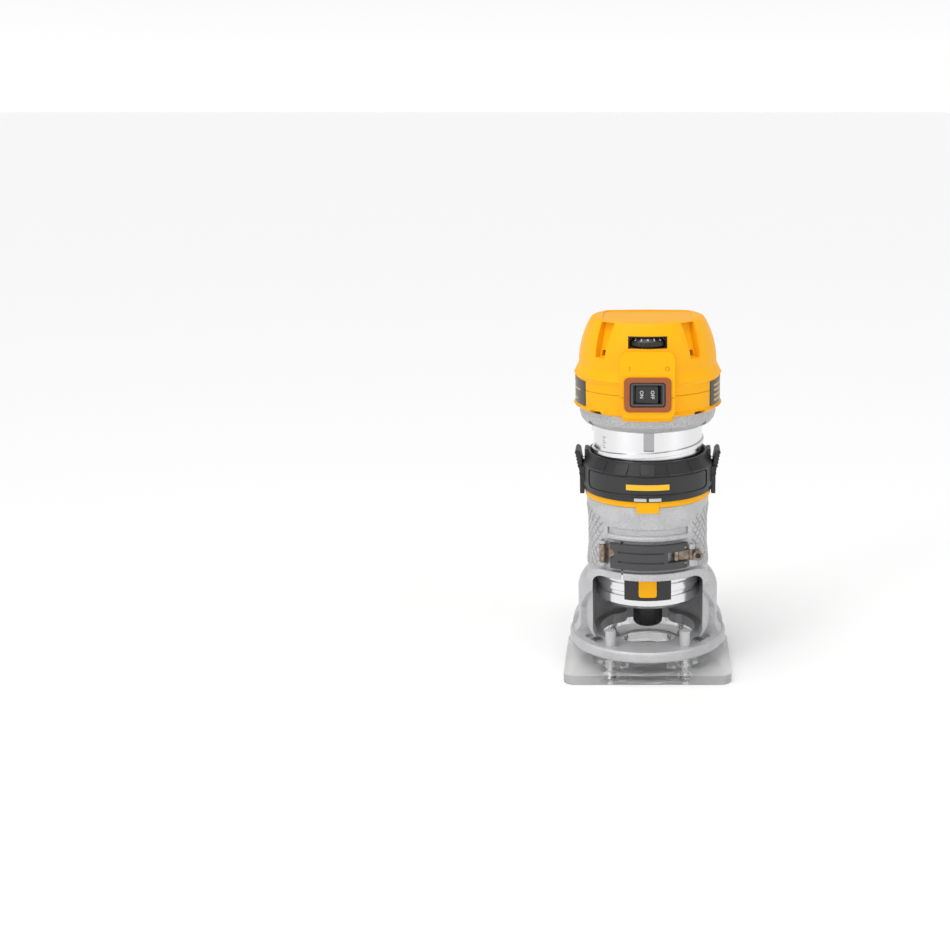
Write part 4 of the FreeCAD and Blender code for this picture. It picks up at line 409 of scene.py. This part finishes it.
zinc = Finish("zinc_plate", (0.62, 0.62, 0.63), 0.3, metallic=1.0)
zinc.roughness(zinc.noise(700.0).rise(0.3, 0.8) * 0.2 + 0.22)
zinc.coat("sub_base_screws", "guide_bushing_screws", "housing_screws")
ground_steel = Finish("ground_steel", (0.58, 0.57, 0.56), 0.25, metallic=1.0)
ground_steel.roughness(ground_steel.noise(900.0).rise(0.3, 0.8) * 0.15 + 0.2)
ground_steel.coat("guide_pin", "tab_spring_left", "tab_spring_right", "spindle", "collet",
                  "lock_disc", "lower_bearing_outer_race", "lower_bearing_inner_race",
                  "upper_bearing_outer_race", "upper_bearing_inner_race", "lower_bearing_balls",
                  "upper_bearing_balls", "field_core", "armature_core", "brush_springs")


# ---- clamp --------------------------------------------------------------------------------
# A moulded grey lever on a bent steel strap and link, both phosphated brown, with a
# socket-head screw that sets the grip; the black in its socket is painted shade.

brown_steel = Finish("brown_steel", (0.26, 0.2, 0.155), 0.36, metallic=0.85)
wear = brown_steel.noise(420.0, 4.0).rise(0.4, 0.75)
brown_steel.colour(brown_steel.blend(wear, (0.22, 0.17, 0.13), (0.42, 0.35, 0.29)))
brown_steel.relief(brown_steel.noise(1400.0), 0.0001, edge=0.0003)
brown_steel.coat("clamp_strap", "clamp_link", "tension_screw", "strap_pin", "hook_pin",
                 "lever_pins", "link_pin")
lever_grey = Finish("lever_grey", (0.05, 0.05, 0.053), 0.36)
lever_grey.relief(lever_grey.noise(1600.0), 0.00006, edge=0.0005)
lever_grey.coat("clamp_lever")
black_oxide = Finish("black_oxide", (0.02, 0.02, 0.02), 0.34, metallic=0.3)
black_oxide.relief(black_oxide.noise(900.0), 0.00008, edge=0.0003)
black_oxide.coat("collet_nut", "tab_pins")


# The hexagon socket of the tension screw, sunk in its head: a thin black hexagon laid on the head,
# as painted shade for the recess.
SOCKET_RADIUS, SOCKET_RIM, SOCKET_LIFT = 0.0019, 0.00025, 0.00002
screw_low, screw_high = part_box("tension_screw")
head_middle = Vector(((screw_low.x + screw_high.x) / 2, screw_low.y,
                      (screw_low.z + screw_high.z) / 2))
socket_place = head_middle + Vector((0, -SOCKET_LIFT, 0))
clear_selection()
bpy.ops.mesh.primitive_circle_add(vertices=6, radius=SOCKET_RADIUS, fill_type="NGON")
socket = bpy.context.object
socket.data.transform(Matrix.Translation(socket_place) @ UPRIGHT)
bpy.ops.object.mode_set(mode="EDIT")
bpy.ops.mesh.select_all(action="SELECT")
bpy.ops.mesh.inset(thickness=SOCKET_RIM, depth=-SOCKET_LIFT / 2)
bpy.ops.object.mode_set(mode="OBJECT")
# Painted shade: a near-black colour standing in for the dark inside of the socket.
painted_socket_shade = Finish("painted_socket_shade", (0.01, 0.009, 0.008), 0.5)
painted_socket_shade.roughness(painted_socket_shade.noise(900.0) * 0.2 + 0.4)
finish_piece("screw_socket_painted_shade", "tension", painted_socket_shade)


# ---- height ring --------------------------------------------------------------------------
# Glass-filled black nylon, with finger pads round its shoulder. Under it lies a yellow ring
# that turns freely and is set to zero against the height ring's pointer.

ring_black = Finish("ring_black", (0.018, 0.018, 0.02), 0.4)
ring_black.relief(ring_black.noise(1300.0, 3.0), 0.0001, edge=0.0006)
ring_black.coat("height_ring", "release_tab_left", "release_tab_right", "bearing_bracket",
                "cooling_fan")
yellow = Finish("yellow_shell", (0.95, 0.45, 0.004), 0.42, Specular_IOR_Level=0.18)
tone = yellow.noise(60.0, 2.0)
yellow.colour(yellow.blend(tone, (0.93, 0.42, 0.002), (0.97, 0.46, 0.003)))
yellow.roughness(yellow.noise(500.0).rise(0.3, 0.7) * 0.1 + 0.4)
yellow.relief(yellow.noise(2200.0, 2.0), 0.00005, edge=0.0007)
yellow.coat("scale_ring", "lock_button")


STRIP_STEP = 3


def arc_strip(radius, low, high, start, end, thick=0.0002, dip=0.0004):
    """A thin band on a cylinder: its cross-section is drawn flat, then spun round the axis."""
    clear_selection()
    bpy.ops.mesh.primitive_plane_add(size=1)
    strip = bpy.context.object
    heading = Matrix.Rotation(math.radians(start), 4, "Z")
    middle = Matrix.Translation((radius + (thick - dip) / 2, 0, (low + high) / 2))
    size = Matrix.Diagonal((thick + dip, high - low, 1, 1))
    strip.data.transform(heading @ middle @ UPRIGHT @ size)
    bpy.ops.object.mode_set(mode="EDIT")
    bpy.ops.mesh.select_all(action="SELECT")
    bpy.ops.mesh.spin(steps=max(2, int(abs(end - start) / STRIP_STEP)),
                      angle=math.radians(start - end), center=(0, 0, 0), axis=(0, 0, 1))
    bpy.ops.mesh.select_all(action="SELECT")
    bpy.ops.mesh.normals_make_consistent(inside=False)
    bpy.ops.object.mode_set(mode="OBJECT")
    return strip


# Two light windows stand under the ring's panel on both sides of its pointer, and a plain
# yellow bar is printed on the panel.
window_white = Finish("window_white", (0.55, 0.56, 0.56), 0.3)
window_white.roughness(window_white.noise(600.0) * 0.2 + 0.2)
print_yellow = Finish("print_yellow", (0.93, 0.5, 0.01), 0.4)
print_yellow.roughness(print_yellow.noise(900.0) * 0.2 + 0.3)
WINDOW_LOW, WINDOW_HIGH = 0.0007, 0.0027
BAR_LOW, BAR_HIGH = 0.1225, 0.1260
BAR_START, BAR_END = -108.5, -71.5
ring_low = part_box("scale_ring")[1].z
LIP_STEP = 0.001
lip_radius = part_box("scale_ring")[1].x + LIP_STEP
for start, end, word in ((-88.9, -78.2, "right"), (-101.8, -91.1, "left")):
    arc_strip(lip_radius, ring_low + WINDOW_LOW, ring_low + WINDOW_HIGH, start, end)
    finish_piece(f"ring_window_{word}", "ring", window_white)
arc_strip(lip_radius + LIP_STEP, BAR_LOW, BAR_HIGH, BAR_START, BAR_END, thick=0.0001)
finish_piece("ring_bar", "ring", print_yellow)


# ---- motor can ----------------------------------------------------------------------------
# Drawn and turned aluminium, left bright. Fine tool marks run round it, and a raised helix
# carries its height in the ring.

bright_alloy = Finish("bright_alloy", (0.72, 0.72, 0.73), 0.2, metallic=1.0)
TOOL_MARKS = 9000.0
marks = bright_alloy.add("ShaderNodeCombineXYZ", None, {"X": bright_alloy.z * TOOL_MARKS})
lines = bright_alloy.noise(1.0, 3.0, marks)
# The flange over the turned wall keeps its cast skin, and the key groove below it is painted
# darker, as painted shade in the recess.
FLANGE_BOTTOM = 0.1572
KEY_LOW, KEY_HIGH = 0.1452, 0.1574
KEY_LEFT, KEY_RIGHT, KEY_FRONT = -0.0025, 0.0039, -0.02
flange = bright_alloy.z.above(FLANGE_BOTTOM)
# Painted shade: this mask marks the key groove, where the can's colour is darkened.
key_groove_painted_shade = (bright_alloy.z.above(KEY_LOW) * bright_alloy.z.below(KEY_HIGH)
           * bright_alloy.x.above(KEY_LEFT) * bright_alloy.x.below(KEY_RIGHT)
           * bright_alloy.y.below(KEY_FRONT))
sand = bright_alloy.noise(1500.0, 3.0).rise(0.35, 0.65)
# The turned wall's tone, with painted shade darkening it inside the key groove.
turned_tone_and_groove_shade = bright_alloy.blend(key_groove_painted_shade, (0.78, 0.78, 0.79), (0.42, 0.42, 0.43))
cast_tone = bright_alloy.blend(sand, (0.36, 0.36, 0.37), (0.55, 0.55, 0.56))
bright_alloy.colour(bright_alloy.blend(flange, turned_tone_and_groove_shade, cast_tone))
bright_alloy.feed(bright_alloy.shader.inputs["Metallic"], 1.0 - flange * 0.6)
bright_alloy.roughness(lines * 0.16 + 0.12 + flange * 0.28)
bright_alloy.relief(lines, 0.00002, edge=0.0003)
bright_alloy.coat("motor_can")
# The dark mouldings on the can and in the housing are one nylon.
housing_dark = Finish("dark_moulding", (0.02, 0.02, 0.021), 0.42)
housing_dark.relief(housing_dark.noise(1300.0), 0.00006, edge=0.0004)
housing_dark.coat("lock_surround", "switch_body", "switch_rocker", "dial_surround", "speed_dial")


# Ticks of the height scale, printed on the can to the left of its key groove.
SCALE_LOW, TICK_PITCH, TICK_TALL = 0.1448, 0.0011, 0.00028
SCALE_HEADING, LONG_TICK, SHORT_TICK = -144.0, 5.0, 2.8
CAN_WALL = 0.003
can_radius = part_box("field_core")[1].x + CAN_WALL
ink = Finish("ink_black", (0.03, 0.03, 0.03), 0.5)
ink.roughness(ink.noise(900.0) * 0.3 + 0.35)
for index in range(7):
    low = SCALE_LOW + index * TICK_PITCH
    reach = LONG_TICK if index % 3 == 0 else SHORT_TICK
    arc_strip(can_radius, low, low + TICK_TALL, SCALE_HEADING, SCALE_HEADING + reach,
              thick=0.00005)
    finish_piece(f"can_tick_{index}", "motor", ink)


# ---- lock spring --------------------------------------------------------------------------
# A short coil of spring wire behind the lock button. Its inner end rests on the can. The
# real spring closes up as the button is pressed; this coil is made at its rest length only.

spring_low, spring_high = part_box("lock_spring")
WIRE, COILS, STEPS_A_COIL = 0.00022, 3, 22
COIL_CLEARANCE, CLOSED_SHARE = 0.0001, 0.14
coil_radius = (spring_high.x - spring_low.x) / 2 - WIRE - COIL_CLEARANCE
coil_length = spring_high.y - spring_low.y - 2 * WIRE
clear_selection()
bpy.ops.mesh.primitive_circle_add(vertices=8, radius=WIRE)
coil = bpy.context.object
coil.data.transform(Matrix.Translation((coil_radius, 0, 0)) @ UPRIGHT)
winding = coil.modifiers.new("winding", "SCREW")
winding.angle = math.radians(360 * COILS)
winding.screw_offset = coil_length
winding.iterations = 1
winding.steps = winding.render_steps = STEPS_A_COIL * COILS
bpy.ops.object.modifier_apply(modifier="winding")
bpy.ops.object.mode_set(mode="EDIT")
bpy.ops.mesh.select_all(action="SELECT")
bpy.ops.mesh.normals_make_consistent(inside=False)
bpy.ops.object.mode_set(mode="OBJECT")
spring_middle = (spring_low.z + spring_high.z) / 2
coil.data.transform(Matrix.Translation((0, spring_high.y - WIRE, spring_middle)) @ UPRIGHT)
spring_coil = finish_piece("lock_spring_coil", "motor", ground_steel)
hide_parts("lock_spring")
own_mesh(spring_coil)


# ---- inside -------------------------------------------------------------------------------
# Windings of enamelled copper, a ribbed copper commutator, graphite brushes in brass boxes,
# and boards of green laminate.

WINDING_RIBS = 5200.0
copper = Finish("enamelled_copper", (0.62, 0.24, 0.08), 0.35, metallic=0.9)
copper.relief((copper.z * WINDING_RIBS).wave().absolute(), 0.0002)
copper.coat("field_coils", "armature_windings", "commutator")
brass = Finish("brass", (0.78, 0.57, 0.22), 0.3, metallic=1.0)
brass.roughness(brass.noise(300.0) * 0.25 + 0.15)
brass.coat("brush_holders")
graphite = Finish("graphite", (0.03, 0.03, 0.032), 0.55)
graphite.roughness(graphite.noise(800.0) * 0.3 + 0.35)
graphite.coat("carbon_brushes")
laminate = Finish("green_laminate", (0.03, 0.16, 0.06), 0.45)
laminate.roughness(laminate.noise(400.0) * 0.2 + 0.35)
laminate.coat("led_board", "speed_controller")


# ---- yellow housing -----------------------------------------------------------------------
# Two shells of yellow nylon that meet at a fine seam, screwed to the can's flange from below.
# A rubber gland at the back takes the cord.

yellow.coat("lower_band", "top_cap")
gland_rubber = Finish("gland_rubber", (0.03, 0.03, 0.03), 0.6)
gland_rubber.relief(gland_rubber.noise(1200.0), 0.0001, edge=0.0004)
gland_rubber.coat("cord_gland")


# ---- rocker switch ------------------------------------------------------------------------
# A black rocker in a dark body, framed by a soft amber boot that is let into the boss. The
# boss is moulded with I and O, and the rocker is printed in white.

boot_rubber = Finish("amber_boot", (0.34, 0.085, 0.02), 0.42)
boot_rubber.relief(boot_rubber.noise(1200.0), 0.00006, edge=0.0005)
boot_rubber.coat("switch_boot")


def raised_text(words, size, rise, place):
    """Lettering made solid, with its middle at the place's origin, facing local Z."""
    clear_selection()
    bpy.ops.object.text_add()
    text = bpy.context.object
    text.data.body = words
    text.data.size = size
    text.data.extrude = rise
    text.data.align_x = "CENTER"
    text.data.align_y = "CENTER"
    bpy.ops.object.convert(target="MESH")
    letters = bpy.context.object
    letters.data.transform(place)
    return letters


# The boss carries a raised I and O, one for each way of the rocker.
yellow_deep = Finish("yellow_deep", (0.55, 0.2, 0.003), 0.4)
yellow_deep.roughness(yellow_deep.noise(500.0) * 0.2 + 0.3)
boot_low, boot_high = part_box("switch_boot")
BOOT_PROUD, LEAN_ABOVE = 0.0009, 0.0015
boss_face = boot_low.y + BOOT_PROUD
LEAN = math.radians(14)
MARK_HEIGHT, MARK_SIZE, MARK_RISE = 0.1990, 0.0038, 0.00022
lean_start = boot_high.z + LEAN_ABOVE
depth = boss_face + (MARK_HEIGHT - lean_start) * math.tan(LEAN)
for mark, across in (("I", -0.0108), ("O", 0.0118)):
    place = Matrix.Translation((across, depth, MARK_HEIGHT)) @ Matrix.Rotation(-LEAN, 4, "X")
    raised_text(mark, MARK_SIZE, MARK_RISE, place @ UPRIGHT)
    finish_piece(f"boss_mark_{mark}", "motor", yellow_deep)

# A grey bezel frames the rocker.
BEZEL_WIDTH, BEZEL_TALL, BEZEL_RISE = 0.0200, 0.0138, 0.0004
BEZEL_CORNER, BEZEL_BAND = 0.0012, 0.0011
switch_low, switch_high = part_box("switch_body")
centre = Vector((0, switch_low.y, (switch_low.z + switch_high.z) / 2))
bezel_grey = Finish("bezel_grey", (0.08, 0.08, 0.083), 0.35)
bezel_grey.relief(bezel_grey.noise(1500.0), 0.00004)
clear_selection()
bpy.ops.mesh.primitive_plane_add(size=1)
bpy.context.object.data.transform(Matrix.Translation(centre) @ UPRIGHT
                                  @ Matrix.Diagonal((BEZEL_WIDTH, BEZEL_TALL, 1, 1)))
bpy.ops.object.mode_set(mode="EDIT")
bpy.ops.mesh.select_all(action="SELECT")
bpy.ops.mesh.bevel(offset=BEZEL_CORNER, segments=4, affect="VERTICES")
bpy.ops.mesh.select_all(action="SELECT")
bpy.ops.mesh.inset(thickness=BEZEL_BAND, depth=0)
bpy.ops.mesh.delete(type="FACE")
bpy.ops.mesh.select_all(action="SELECT")
bpy.ops.mesh.extrude_region_move(TRANSFORM_OT_translate={"value": (0, -BEZEL_RISE, 0)})
bpy.ops.mesh.select_all(action="SELECT")
bpy.ops.mesh.normals_make_consistent(inside=False)
bpy.ops.object.mode_set(mode="OBJECT")
finish_piece("rocker_bezel", "motor", bezel_grey)

# White words are printed on the rocker, reading upwards, each on its own half.
PRINT_RISE = 0.00008
WORD_SIZE, ROCKER_REACH = 0.0030, 0.00462
ROCKER_TILT = math.radians(-7)
label_white = Finish("label_white", (0.75, 0.75, 0.75), 0.4)
label_white.roughness(label_white.noise(900.0) * 0.2 + 0.3)
joints = {joint["name"]: joint for joint in frame["record"]["behaviour"]["joints"]}
pivot = Vector(joints["switch_rock"]["pos_m"])
rocker_face = Matrix.Translation(pivot) @ Matrix.Rotation(ROCKER_TILT, 4, "Z")
for words, across in (("ON", -0.0032), ("OFF", 0.0034)):
    place = rocker_face @ Matrix.Translation((across, -ROCKER_REACH, 0)) @ UPRIGHT
    raised_text(words, WORD_SIZE, PRINT_RISE,
                place @ Matrix.Rotation(math.radians(-90), 4, "Z"))
    finish_piece(f"rocker_word_{words}", "rocker", label_white)


# ---- side plates --------------------------------------------------------------------------
# Black printed plates stuck to both flanks of the housing. Each has four plain printed bars
# and no words.

LOWEST_BAR, BAR_PITCH, BAR_TALL = 0.0022, 0.0031, 0.0012
BARS_START = -26
BAR_REACHES = (44, 30, 50, 38)
label = Finish("label_black", (0.03, 0.03, 0.033), 0.3)
label.roughness(label.noise(300.0) * 0.1 + 0.25)
label.coat("rating_plate_left", "rating_plate_right")
bar_pale = Finish("bar_pale", (0.6, 0.33, 0.02), 0.4)
bar_pale.roughness(bar_pale.noise(900.0) * 0.2 + 0.3)
plate_low, plate_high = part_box("rating_plate_right")
for side, word in ((0, "right"), (180, "left")):
    start = side + BARS_START
    for index, reach in enumerate(BAR_REACHES):
        low = plate_low.z + LOWEST_BAR + index * BAR_PITCH
        arc_strip(plate_high.x, low, low + BAR_TALL, start, start + reach, thick=0.00005)
        finish_piece(f"plate_bar_{word}_{index}", "motor", bar_pale)


# ---- speed dial ---------------------------------------------------------------------------
# A black nylon wheel that turns the motor's speed up and down behind its window. The numbers
# 1 to 7 are printed round its bevelled edge.

NUMBER_STEP, NUMBER_SIZE = 19, 0.0024
BEVEL_ACROSS, BEVEL_FALL = 0.0024, 0.0026
BEVEL_IN, BEVEL_DOWN = 0.0011, 0.00125
FRONT_HEADING, MIDDLE_NUMBER = -90, 4
dial_low, dial_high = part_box("speed_dial")
dial_middle = (dial_low + dial_high) / 2
reach = (dial_high.x - dial_low.x) / 2 - BEVEL_IN
slope = Matrix.Rotation(math.atan2(BEVEL_FALL, BEVEL_ACROSS), 4, "X")
for number in range(1, 8):
    turn = math.radians(FRONT_HEADING + (number - MIDDLE_NUMBER) * NUMBER_STEP)
    place = Matrix.Translation((reach * math.cos(turn), dial_middle.y + reach * math.sin(turn),
                                dial_high.z - BEVEL_DOWN))
    facing = Matrix.Rotation(turn + math.radians(90), 4, "Z")
    raised_text(str(number), NUMBER_SIZE, PRINT_RISE, place @ facing @ slope)
    finish_piece(f"dial_number_{number}", "dial", label_white)
